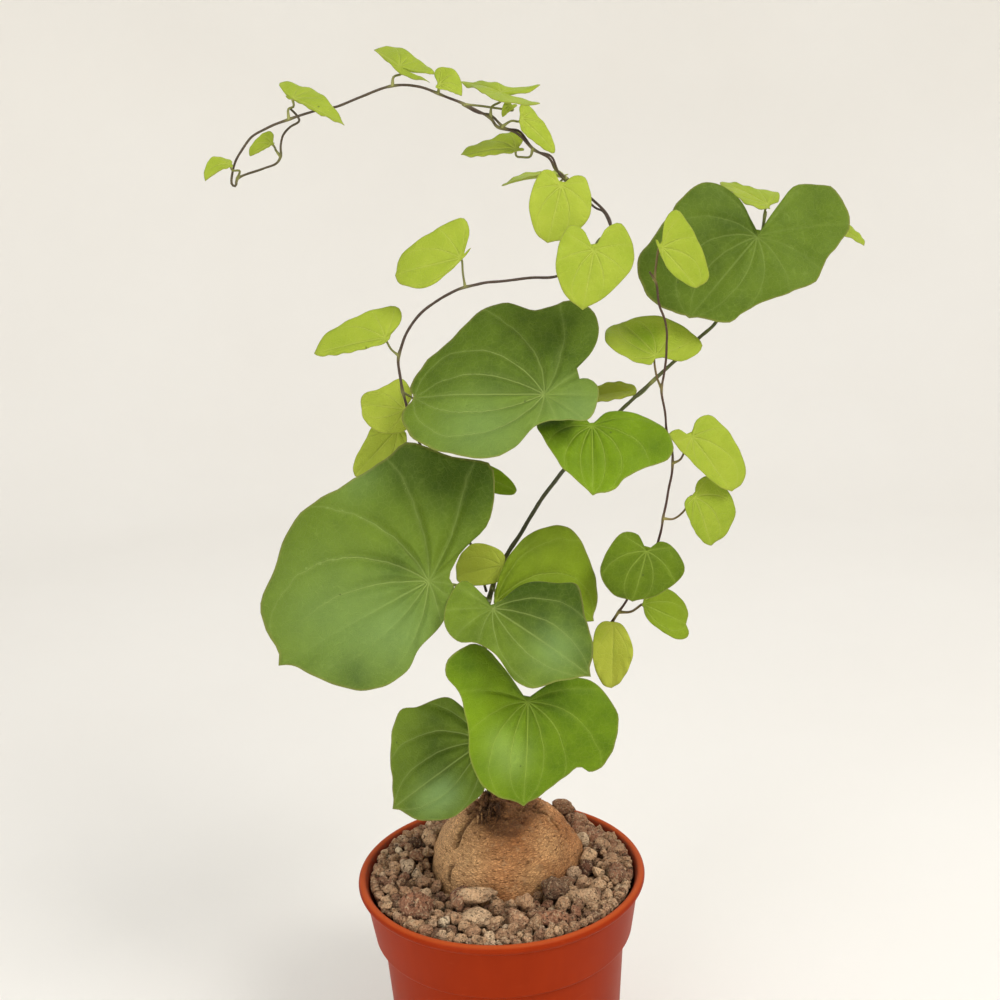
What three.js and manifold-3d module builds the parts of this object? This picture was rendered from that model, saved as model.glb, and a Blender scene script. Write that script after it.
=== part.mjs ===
// A tortoise plant in its nursery pot: a half-buried, bark-covered tuber, three thin stems and
// heart-shaped leaves. Millimetres, +Z up, +X to the viewer's right, the viewer on the -Y side.
// The origin is the centre of the pot's underside.

import * as THREE from "three";
import { mergeVertices } from "three/addons/utils/BufferGeometryUtils.js";
import Module from "manifold-3d";

const wasm = await Module();
wasm.setup();

// Driving sizes

const GAP = 0.3; // clearance between separate pieces that touch
const POT_HEIGHT = 95;
const RIM_RADIUS = 52.5; // a 10.5 cm nursery pot
const BASE_RADIUS = 39.5;
const POT_WALL = 1.5;
const POT_FLOOR = 2.4;
const LIP_WIDTH = 3.9; // rolled lip, from its outer edge to the inner wall
const COLLAR_HEIGHT = 23; // from the rim down to the step
const COLLAR_TAPER = 5.2; // how far the collar's foot lies inside the rim
const STEP_DEPTH = 2.9; // how far the body steps in under the collar
const DRAIN_HOLES = 6;
const FILL_HEIGHT = 88; // bed of the filling, below the grains
const CAUDEX_CENTRE = [2, 9, 90];
const CAUDEX_RADIUS = 28.5;
const CAUDEX_RISE = 25.5; // crown above the widest place
const CAUDEX_SINK = 24; // underside below the widest place
const STEM_RADIUS = 0.95;
const VINE_RADIUS = 0.5;
const BLADE_THICKNESS = 0.7;
const GRAIN_COUNT = 66;
const GRAIN_SIZE = [8.6, 11.2];

// Colours: base colour, roughness

const FINISH = {
  pot: [0xb04a28, 0.42],
  grit: [0x9a8672, 0.95],
  bark: [0xa97c50, 0.85],
  stem: [0x4b4a2c, 0.6],
  redVine: [0x4a3428, 0.55],
  greyVine: [0x5f574c, 0.6],
  old: [0x54752f, 0.45],
  mid: [0x6f9a2a, 0.45],
  young: [0xabbb3b, 0.5],
};

const plant = new THREE.Group();

function addPiece(name, geometry, finish) {
  const [color, roughness] = FINISH[finish];
  const material = new THREE.MeshStandardMaterial({ color, roughness, metalness: 0 });
  const mesh = new THREE.Mesh(geometry, material);
  mesh.name = name;
  plant.add(mesh);
}

// Solids: closed meshes that can be joined and cut

function toSolid(geometry) {
  const bare = geometry.clone();
  bare.deleteAttribute("normal");
  bare.deleteAttribute("uv");
  const merged = mergeVertices(bare, 1e-4);
  const vertProperties = new Float32Array(merged.attributes.position.array);
  const triVerts = new Uint32Array(merged.index.array);
  return new wasm.Manifold(new wasm.Mesh({ numProp: 3, vertProperties, triVerts }));
}

function toGeometry(solid) {
  const mesh = solid.getMesh();
  const geometry = new THREE.BufferGeometry();
  geometry.setAttribute("position", new THREE.BufferAttribute(mesh.vertProperties, 3));
  geometry.setIndex(new THREE.BufferAttribute(mesh.triVerts, 1));
  return geometry;
}

function join(solids) {
  return solids.reduce((whole, solid) => whole.add(solid));
}

function fromFaces(points, faces) {
  const geometry = new THREE.BufferGeometry();
  const flat = points.flatMap((point) => [point.x, point.y, point.z]);
  geometry.setAttribute("position", new THREE.Float32BufferAttribute(flat, 3));
  geometry.setIndex(faces.flat());
  return geometry;
}

function vector([x, y, z]) {
  return new THREE.Vector3(x, y, z);
}

function blend(first, firstShare, second, secondShare) {
  return first.clone().multiplyScalar(firstShare).addScaledVector(second, secondShare);
}

// A seeded draw, the same on every run

function seededDraw(seed) {
  let state = seed;
  return () => {
    state = (state * 1664525 + 1013904223) % 4294967296;
    return state / 4294967296;
  };
}

// A turned solid from a closed outline of [radius, height] points that starts and ends on the axis

function turned(outline, segments) {
  const points = outline.map(([radius, height]) => new THREE.Vector2(radius, height));
  const geometry = new THREE.LatheGeometry(points, segments);
  geometry.rotateX(Math.PI / 2);
  return geometry;
}

// Pot

const collarFoot = POT_HEIGHT - COLLAR_HEIGHT;
const collarRadius = RIM_RADIUS - COLLAR_TAPER;
const bodyRadius = collarRadius - STEP_DEPTH;

function potInside(clearance) {
  const inset = POT_WALL + clearance;
  return [
    [0, POT_FLOOR + clearance],
    [BASE_RADIUS - inset, POT_FLOOR + clearance],
    [bodyRadius - inset, collarFoot],
    [collarRadius - inset, collarFoot + 1.8],
    [RIM_RADIUS - LIP_WIDTH - clearance, POT_HEIGHT - 3.5],
  ];
}

function makePot() {
  const outside = [
    [0, 0],
    [BASE_RADIUS - 1, 0],
    [BASE_RADIUS, 1],
    [bodyRadius, collarFoot - 0.8],
    [collarRadius - 0.6, collarFoot],
    [collarRadius, collarFoot + 0.8],
    [RIM_RADIUS - 2.3, POT_HEIGHT - 4],
    [RIM_RADIUS - 0.7, POT_HEIGHT - 3.3],
    [RIM_RADIUS, POT_HEIGHT - 1.9],
    [RIM_RADIUS - 0.5, POT_HEIGHT - 0.5],
    [RIM_RADIUS - 1.6, POT_HEIGHT],
    [RIM_RADIUS - 2.8, POT_HEIGHT - 0.6],
    [RIM_RADIUS - 3.4, POT_HEIGHT - 1.8],
  ];
  const shell = turned([...outside, ...potInside(0).reverse()], 40);
  const holeRadius = 3.5;
  const holeRing = 26;
  const holes = Array.from({ length: DRAIN_HOLES }, (_, index) => {
    const angle = (2 * Math.PI * index) / DRAIN_HOLES;
    const hole = new THREE.CylinderGeometry(holeRadius, holeRadius, 3 * POT_FLOOR, 16);
    hole.rotateX(Math.PI / 2);
    hole.translate(holeRing * Math.cos(angle), holeRing * Math.sin(angle), POT_FLOOR / 2);
    return toSolid(hole);
  });
  return toGeometry(toSolid(shell).subtract(join(holes)));
}

// Caudex: a ball flattened above and below, drawn up into a low crown, with grooves down its bark

const grooves = [
  { azimuth: -2.2, width: 0.1, depth: 1.3 },
  { azimuth: -1.05, width: 0.12, depth: 1.1 },
  { azimuth: 0.6, width: 0.12, depth: 1.2 },
  { azimuth: 2.3, width: 0.14, depth: 1.4 },
];

function caudexPoint(azimuth, tilt, swell) {
  const across = Math.sin(tilt) ** 0.9;
  const up = Math.cos(tilt);
  const lumps = 1 + 0.02 * Math.sin(3 * azimuth + 0.7) + 0.012 * Math.sin(7 * azimuth + 4 * up);
  let radius = CAUDEX_RADIUS * across * lumps;
  for (const groove of grooves) {
    const offset = Math.atan2(Math.sin(azimuth - groove.azimuth), Math.cos(azimuth - groove.azimuth));
    const reach = Math.exp(-((offset / groove.width) ** 2)) * Math.exp(-(((up - 0.45) / 0.4) ** 2));
    radius -= groove.depth * reach;
  }
  const crown = 1.5 * Math.exp(-((across / 0.22) ** 2));
  const height = up > 0 ? CAUDEX_RISE * up + crown : CAUDEX_SINK * up;
  return new THREE.Vector3(
    CAUDEX_CENTRE[0] + (radius + swell) * Math.cos(azimuth),
    CAUDEX_CENTRE[1] + (radius + swell) * Math.sin(azimuth),
    CAUDEX_CENTRE[2] + height + swell * up,
  );
}

function caudexShell(swell) {
  const around = 28;
  const rings = 10;
  const points = [caudexPoint(0, 0, swell), caudexPoint(0, Math.PI, swell)];
  const faces = [];
  const at = (ring, step) => 2 + (ring - 1) * around + (step % around);
  for (let ring = 1; ring < rings; ring += 1) {
    for (let step = 0; step < around; step += 1) {
      const azimuth = (2 * Math.PI * step) / around;
      points.push(caudexPoint(azimuth, (Math.PI * ring) / rings, swell));
    }
  }
  for (let step = 0; step < around; step += 1) {
    faces.push([0, at(1, step), at(1, step + 1)]);
    faces.push([1, at(rings - 1, step + 1), at(rings - 1, step)]);
    for (let ring = 1; ring < rings - 1; ring += 1) {
      faces.push([at(ring, step), at(ring + 1, step), at(ring + 1, step + 1)]);
      faces.push([at(ring, step), at(ring + 1, step + 1), at(ring, step + 1)]);
    }
  }
  return toSolid(fromFaces(points, faces));
}

// Dried stubs of old stems that lean out of the crown

const stubs = [
  { foot: [-3.5, 5.5, 114.5], tip: [-6.5, 2, 120], radius: 1.3 },
  { foot: [-1, 4, 114.5], tip: [-1.5, 0.5, 118.5], radius: 1.1 },
  { foot: [-6, 8, 114], tip: [-9, 7, 118], radius: 1.2 },
];

function makeCaudex(socket) {
  const cones = stubs.map(({ foot, tip, radius }) => rod([foot, tip], radius, 0.5, 6, 1));
  return toGeometry(join([caudexShell(0), ...cones]).subtract(socket));
}

// A closed round rod along a smooth route, thinning from one end to the other

function rod(route, startRadius, endRadius, sides, steps) {
  const curve = new THREE.CatmullRomCurve3(route.map(vector), false, "centripetal");
  const frames = curve.computeFrenetFrames(steps, false);
  const points = [];
  const faces = [];
  for (let step = 0; step <= steps; step += 1) {
    const share = step / steps;
    const radius = startRadius + (endRadius - startRadius) * share;
    const centre = curve.getPointAt(share);
    for (let side = 0; side < sides; side += 1) {
      const angle = (2 * Math.PI * side) / sides;
      const across = frames.normals[step].clone().multiplyScalar(radius * Math.cos(angle));
      const upward = frames.binormals[step].clone().multiplyScalar(radius * Math.sin(angle));
      points.push(centre.clone().add(across).add(upward));
    }
  }
  for (let step = 0; step < steps; step += 1) {
    for (let side = 0; side < sides; side += 1) {
      const here = step * sides + side;
      const beside = step * sides + ((side + 1) % sides);
      faces.push([here, beside, beside + sides]);
      faces.push([here, beside + sides, here + sides]);
    }
  }
  const last = steps * sides;
  for (let side = 1; side < sides - 1; side += 1) {
    faces.push([0, side + 1, side]);
    faces.push([last, last + side, last + side + 1]);
  }
  return toSolid(fromFaces(points, faces));
}

// Grit: irregular grains on a golden-angle spiral round the caudex, sunk into the filling

function makeGrain(draw, centre, size) {
  const grain = new THREE.IcosahedronGeometry(size / 2, 0);
  grain.deleteAttribute("normal");
  grain.deleteAttribute("uv");
  const lump = mergeVertices(grain, 1e-4);
  const corner = lump.attributes.position;
  for (let index = 0; index < corner.count; index += 1) {
    const stretch = 0.8 + 0.4 * draw();
    const place = new THREE.Vector3().fromBufferAttribute(corner, index).multiplyScalar(stretch);
    corner.setXYZ(index, place.x, place.y, place.z);
  }
  lump.scale(0.85 + 0.35 * draw(), 0.85 + 0.35 * draw(), 0.8 + 0.2 * draw());
  lump.rotateX(2 * Math.PI * draw());
  lump.rotateZ(2 * Math.PI * draw());
  lump.translate(centre.x, centre.y, centre.z);
  return toSolid(lump);
}

function makeGrit() {
  const draw = seededDraw(20240);
  const bedRadius = RIM_RADIUS - LIP_WIDTH - 2 * GAP;
  const bed = [...potInside(GAP).slice(0, -1), [bedRadius, FILL_HEIGHT], [0, FILL_HEIGHT]];
  const goldenAngle = Math.PI * (3 - Math.sqrt(5));
  const innerRadius = CAUDEX_RADIUS - 3.5;
  const outerRadius = bedRadius - 0.55 * GRAIN_SIZE[1];
  const grains = [];
  for (let index = 0; index < GRAIN_COUNT; index += 1) {
    const share = (index + 0.5) / GRAIN_COUNT;
    const radius = Math.sqrt(innerRadius ** 2 + (outerRadius ** 2 - innerRadius ** 2) * share);
    const angle = index * goldenAngle + 0.15 * draw();
    const size = GRAIN_SIZE[0] + (GRAIN_SIZE[1] - GRAIN_SIZE[0]) * draw();
    const x = radius * Math.cos(angle) + CAUDEX_CENTRE[0] * (1 - share);
    const y = radius * Math.sin(angle) + CAUDEX_CENTRE[1] * (1 - share);
    const z = FILL_HEIGHT + 0.6 + 2 * (1 - share) + 1.4 * draw();
    grains.push(makeGrain(draw, new THREE.Vector3(x, y, z), size));
  }
  const heap = join([toSolid(turned(bed, 40)), ...grains]);
  const pieces = heap.subtract(caudexShell(GAP + 0.1)).decompose();
  return toGeometry(pieces.reduce((most, piece) => (piece.volume() > most.volume() ? piece : most)));
}

// Half a blade's edge, from the tip round to the cleft. A large leaf gives all its places. A small
// one gives its side and back lobe, and the shares place a point beside the tip and a shoulder
// between tip and side, and round the lobe's inner edge toward the cleft.

function halfEdge(tip, places, cleft, steps) {
  const [side, lobe] = places;
  const large = places.length > 2;
  const route = large
    ? [tip, ...places]
    : [
        tip,
        blend(tip, 0.83, side, 0.33),
        blend(tip, 0.58, side, 0.62),
        side,
        lobe,
        blend(lobe, 0.45, cleft, 0.28 * lobe.length()),
        blend(lobe, 0.14, tip, -0.05),
      ];
  return new THREE.CatmullRomCurve3(route, false, "centripetal").getSpacedPoints(steps);
}

// Turns edge points about the stalk's end where needed, so that the edge keeps turning one way
// from the midrib to the cleft and the fan never folds over itself

function unfold(edge, crease, across, cleft) {
  const leastTurn = 0.03;
  const axis = crease.clone().cross(across);
  const angleOf = (point) => {
    const angle = Math.atan2(point.dot(across), point.dot(crease));
    return angle < -Math.PI / 2 ? angle + 2 * Math.PI : angle;
  };
  let reached = 0;
  return edge.map((point, index) => {
    const angle = angleOf(point);
    const limit = angleOf(cleft) - leastTurn * (edge.length - index);
    const wanted = Math.min(Math.max(angle, reached), limit);
    reached = wanted + leastTurn;
    return point.clone().applyAxisAngle(axis, wanted - angle);
  });
}

// The way from one side of a blade to the other, between the middle places of its two edges

function bladeAcross(leaf) {
  const middle = (places) => vector(places[Math.floor((places.length - 1) / 2)]);
  return middle(leaf.edgeA).sub(middle(leaf.edgeB));
}

function bladeFacing(leaf) {
  const facing = vector(leaf.tip).cross(bladeAcross(leaf)).normalize();
  const towardViewer = new THREE.Vector3(0, -1, 0.4);
  return facing.dot(towardViewer) < 0 ? facing.negate() : facing;
}

// Leaf blade: a fan from the leaf stalk's end to a smooth closed edge through the leaf's tip and
// the places of its two halves, all given from the stalk's end. The halves fold up along the
// midrib, the tip hangs and the margin waves a little.

function makeBlade(leaf) {
  const tip = vector(leaf.tip);
  const [placesA, placesB] = [leaf.edgeA, leaf.edgeB].map((places) => places.map(vector));
  const facing = bladeFacing(leaf);
  const large = placesA.length > 2;
  const steps = large ? 18 : 8;
  const rings = large ? [0.6, 1] : [0.55, 1];
  const crease = tip.clone().normalize();
  const across = bladeAcross(leaf);
  const span = across.length() / 2;
  across.addScaledVector(crease, -across.dot(crease)).normalize();
  const cleft = blend(placesA.at(-1).clone().normalize(), 1, placesB.at(-1).clone().normalize(), 1);
  cleft.sub(crease).normalize();
  const edgeOf = (places, outward) =>
    unfold(halfEdge(tip, places, cleft, steps), crease, outward, cleft);
  const edgeB = edgeOf(placesB, across.clone().negate());
  const edge = [...edgeOf(placesA, across), ...edgeB.slice(1).reverse()];
  const base = vector(leaf.base);

  const surface = (outline, share) => {
    const point = outline.clone().multiplyScalar(share);
    const along = point.dot(crease);
    const beside = point.clone().addScaledVector(crease, -along).length();
    const wave = 0.02 * span * Math.sin(7 * Math.atan2(beside, along) + leaf.base[0]) * share ** 3;
    const hang = (leaf.droop * along * Math.abs(along)) / tip.length();
    return base.clone().add(point).addScaledVector(facing, leaf.fold * beside - hang + wave);
  };

  const count = edge.length;
  const front = [base.clone()];
  for (const share of rings) {
    front.push(...edge.map((outline) => surface(outline, share)));
  }
  const half = BLADE_THICKNESS / 2;
  const back = front.map((point) => point.clone().addScaledVector(facing, -half));
  front.forEach((point) => point.addScaledVector(facing, half));

  const faces = [];
  const turn = new THREE.Vector3().crossVectors(edge[0], edge[1]).dot(facing) > 0;
  const shift = front.length;
  const pair = (a, b, c) => {
    faces.push(turn ? [a, b, c] : [a, c, b]);
    faces.push(turn ? [a + shift, c + shift, b + shift] : [a + shift, b + shift, c + shift]);
  };
  for (let step = 0; step < count; step += 1) {
    const next = (step + 1) % count;
    pair(0, 1 + step, 1 + next);
    for (let ring = 0; ring < rings.length - 1; ring += 1) {
      const inner = 1 + ring * count;
      const outer = inner + count;
      pair(inner + step, outer + step, outer + next);
      pair(inner + step, outer + next, inner + next);
    }
    const rim = 1 + (rings.length - 1) * count;
    const [a, b] = turn ? [rim + step, rim + next] : [rim + next, rim + step];
    faces.push([a, a + shift, b + shift], [a, b + shift, b]);
  }
  return fromFaces([...front, ...back], faces);
}

// Leaf stalk: from its stem to just behind the blade

function makeStalk(leaf, thickness) {
  const facing = bladeFacing(leaf);
  const end = vector(leaf.base).addScaledVector(facing, -(BLADE_THICKNESS / 2 + GAP + thickness));
  const route = [...leaf.stalk, end.toArray()];
  return rod(route, thickness * 1.15, thickness, 4, 2 * (route.length - 1));
}

// Leaves of the main stem, from the root up. Each base is where the stalk meets the blade, the
// stalk's route starts in its stem, and the other places are measured from the base.

const mainLeaves = [
  {
    age: "old",
    base: [-4, -14, 151],
    tip: [-34, -1.5, -23],
    edgeA: [
      [-35, 2.5, -15], [-34, 7, -6], [-28.5, 12, 8], [-22.5, 10.5, 9.5], [-17, 10.5, 12],
      [-11, 9.5, 13], [-3.5, 4.5, 7],
      [0.5, 1, 2],
    ],
    edgeB: [
      [-29.5, -3.5, -25], [-24, -6, -26.5], [-11.5, -8, -24], [-5, -8, -19.5], [0, -7, -15],
      [0, -2.5, -5],
      [1.2, -0.6, -1.2],
    ],
    stalk: [[-3.5, 1, 146.5], [-3.5, -6, 149.5]],
  },
  {
    age: "mid",
    base: [11.5, -32, 172.5],
    tip: [-1.5, -10, -32.5],
    edgeA: [
      [-9, -10.5, -30.2], [-15.6, -10.5, -25.2], [-19.8, -9, -15.5], [-20.8, -6, -5], [-23.5, -4, 7],
      [-27.5, -3.5, 12.5], [-26.5, -2, 18], [-18, 1.5, 21], [-12, 2, 17.5], [-5.5, 0.5, 6.5],
      [-1, 0.5, 2],
    ],
    edgeB: [
      [4.5, -8, -30.5], [10.5, -5, -26.5], [16.5, -2.5, -23], [20.5, -2, -25.5], [26, 0.5, -22],
      [29, 4.5, -11.5], [28, 6, -5], [21, 7, 4], [11.5, 5, 6], [5, 2.5, 4],
      [1, 0.5, 1.5],
    ],
    stalk: [[-3, -1, 161], [4, -16, 170]],
  },
  {
    age: "old",
    base: [1.5, -33, 205.5],
    tip: [30, -12.5, -18],
    edgeA: [
      [32, -9, -13], [30.5, -3, -4], [27.5, 3.5, 5.5], [20.5, 4, 6], [13, 4.5, 7], [8, 3.5, 5.5],
      [3, 1.5, 2.5],
      [0.2, 0.7, 1.3],
    ],
    edgeB: [
      [25, -13.5, -19.5], [18.5, -14, -20.5], [11.5, -15, -22], [6.5, -14, -20.5], [1, -9, -14],
      [-6, -6.5, -9.5], [-11.5, -6, -9], [-16, -3, -4], [-14, 2.5, 3.5], [-9, 5.5, 8], [-3, 2.5, 4],
      [-0.6, 0.6, 1],
    ],
    stalk: [[0, -4, 199], [-1, -15, 202]],
  },
  {
    age: "young",
    base: [5, -7, 212],
    tip: [-17, 5, -4],
    edgeA: [[-9, 6, 7], [0, 2, 5]],
    edgeB: [[-9, 0, -7], [-1, -2, -5]],
    stalk: [[6, -2.5, 212.5]],
  },
  {
    age: "mid",
    base: [2.5, -14, 201.5],
    tip: [33.5, 2.5, -9],
    edgeA: [
      [36, 5.5, -2.5], [35, 8.5, 6], [31, 11, 15], [25, 12.5, 22], [14, 10.5, 21.5], [6, 7, 16],
      [1.5, 3.5, 9],
      [-0.7, 1, 2.4],
    ],
    edgeB: [[28, 2, -9], [19.5, -1, -12.5], [10.5, -2.5, -12.5], [3, -2, -7], [-0.7, -0.4, -1.4]],
    stalk: [[1.5, -3, 203.5], [2.5, -8, 202.5]],
  },
  {
    age: "old",
    base: [-19, -26, 213.5],
    tip: [-53.5, 1.5, -27],
    edgeA: [
      [-59, 6.5, -16.5], [-59.5, 10.5, -6], [-53, 13.5, 5.5], [-44, 17, 19.5], [-27.5, 16.5, 28.5],
      [-13, 17, 37.5], [-2.5, 16.5, 43], [10.5, 12.5, 38.5], [22, 9, 36.5], [24, 6.5, 31.5],
      [20.5, 2, 17.5], [12, 1, 9.5], [7.5, 0, 3],
    ],
    edgeB: [
      [-45, -1, -29], [-29, -6.5, -34], [-20.5, -8.5, -34], [-9, -9, -28.5], [-4, -7.5, -21.5],
      [4.5, -5.5, -12], [8.5, -3, -3.5], [7, -1, 1],
    ],
    stalk: [[-0.5, -4, 199], [-6, -12, 206]],
  },
  {
    age: "old",
    base: [21, -18, 272],
    tip: [-42, 3, 2.5],
    edgeA: [
      [-44.5, 6.5, 6.5], [-40, 11, 12], [-31, 16, 17.5], [-19.5, 22, 24.5], [-11.5, 24, 27],
      [-1.5, 21.5, 24], [9.5, 22.5, 25.5], [18.5, 19, 21.5], [19, 13.5, 15.5], [16.5, 9, 10.5],
      [11, 5.5, 6.5],
    ],
    edgeB: [
      [-47, -0.5, -1.5], [-45, -6.5, -8], [-34, -12, -14.5], [-21.5, -16, -18], [-11, -13.5, -15.5],
      [-3, -8, -9], [6.5, -7.5, -8], [13.5, -7, -8], [17, -2.5, -2.5], [17, 1, 1.5], [11, 4, 4.5],
    ],
    stalk: [[37.5, 0, 253.5], [31, -6, 262]],
  },
  {
    age: "mid",
    base: [36.5, -12, 260],
    tip: [-1, -16.5, -17.5],
    edgeA: [
      [-5, -15, -15], [-11, -11.5, -10.5], [-15.5, -7, -5], [-18.5, -2.5, 0], [-15, 1, 3],
      [-8, 2.5, 4], [-2.5, 2, 2.5],
      [-0.8, 0.8, 1.2],
    ],
    edgeB: [
      [5.5, -15.5, -17.5], [10.5, -13, -15], [16.5, -10, -13], [23.5, -8, -12], [25.5, -6, -10],
      [24, -1, -4.5], [18, 3, 0.5], [11.5, 4.5, 3], [5, 3.5, 3],
      [0.8, 1, 1.2],
    ],
    stalk: [[44, 0, 260], [41, -6, 261]],
  },
  {
    age: "mid",
    base: [52.5, 8, 267.8],
    tip: [-20, 6, -1.5],
    edgeA: [[-8, 6.5, 2.6], [0.8, 2.5, 1]],
    edgeB: [[-8, -3.5, -3], [0.8, -1.8, -0.8]],
    stalk: [[58.2, 0, 272.2], [55.3, 6.5, 267.3]],
  },
  {
    age: "old",
    base: [93.5, 3, 318],
    tip: [-23, -12, -22.5],
    edgeA: [
      [-28.5, -12, -21], [-35, -11.5, -18.5], [-39, -9.5, -13], [-40.5, -7, -8], [-39, -5, -3],
      [-35, -2.5, 1], [-29, 1.5, 8.5], [-23, 4.5, 14.5], [-17, 6.5, 17.5], [-11.5, 6.5, 16.5],
      [-5.5, 5, 11.5], [-2, 2, 5],
      [-0.5, 0.7, 1.8],
    ],
    edgeB: [
      [-19.5, -12.5, -24], [-11.5, -13, -26], [-6.5, -11, -23.5], [-1, -9.5, -21], [9, -8, -19],
      [18, -5.5, -15.5], [22.5, -2, -8.5], [30, 2.5, 0], [29, 6.5, 9], [26, 8.5, 13.5],
      [20, 8.5, 15], [13.5, 8, 15], [6, 4, 7],
      [1, 0.8, 1.6],
    ],
    stalk: [[96, 11, 314], [96, 8, 316]],
  },
  {
    age: "young",
    base: [99, 14, 328],
    tip: [-13, 14, 10],
    edgeA: [[-4, 10, 6], [5, 7, 3]],
    edgeB: [[-8, -2, 0], [0, -3, -2]],
    stalk: [[98.5, 14, 324.5]],
  },
  {
    age: "young",
    base: [122, 14, 320],
    tip: [9, -6, -5],
    edgeA: [[6, 0, -1], [2, 4, 2]],
    edgeB: [[4, -6, -4], [-2, -6, -3]],
    stalk: [[97, 12, 319], [111, 18, 320]],
  },
];

// Leaves of the right vine, from its root to its tip

const rightLeaves = [
  {
    age: "young",
    base: [43, -1, 187],
    tip: [-1, -2, -24],
    edgeA: [[-8, -1, -11], [-6, 0, 0]],
    edgeB: [[7, -1, -10], [4, 0, -1]],
    stalk: [[45.1, 0.3, 191.2]],
  },
  {
    age: "mid",
    base: [54, 2, 193],
    tip: [16, 0, -8],
    edgeA: [[12, 3, 3], [5, 3, 6]],
    edgeB: [[12, -3, -13], [1, -2, -5]],
    stalk: [[45.1, 0.3, 191.2], [49, -1, 191.5]],
  },
  {
    age: "mid",
    base: [54, -10, 216],
    tip: [-5, -4, -17],
    edgeA: [[-17, -3, -5], [-9, 0, 7]],
    edgeB: [[13, 0, -8], [9, 2, 1]],
    stalk: [[58, -4, 215]],
  },
  {
    age: "young",
    base: [71, -6, 233],
    tip: [7, 1, -18],
    edgeA: [[-2, -1, -9], [-4, -1, -2]],
    edgeB: [[15, 6, -6], [7, 6, 6]],
    stalk: [[60.5, -6, 226], [64, -5, 225.5], [68, -3.5, 228]],
  },
  {
    age: "young",
    base: [70, -8, 254],
    tip: [14, -1, -19],
    edgeA: [[-1, -3, -8], [-9, -3, 2]],
    edgeB: [[18, 2, -8], [6, 3, 7]],
    stalk: [[63.5, -8, 245.5], [66, -9, 247]],
  },
  {
    age: "young",
    base: [59, -2, 281],
    tip: [-10, 8, 12],
    edgeA: [[-17, 1, 4], [-6, -2, -3]],
    edgeB: [[7, 8, 10], [16, 2, 1]],
    stalk: [[60, -8, 271], [59, -5, 274]],
  },
  {
    age: "young",
    base: [59, -21, 317],
    tip: [12, 2, -13],
    edgeA: [[15, 3, -5], [4, 1, 12]],
    edgeB: [[2, 0, -7], [-2, 0, 3]],
    stalk: [[57, -17, 307]],
  },
];

// Leaves of the arch vine, from its root to its tip

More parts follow.
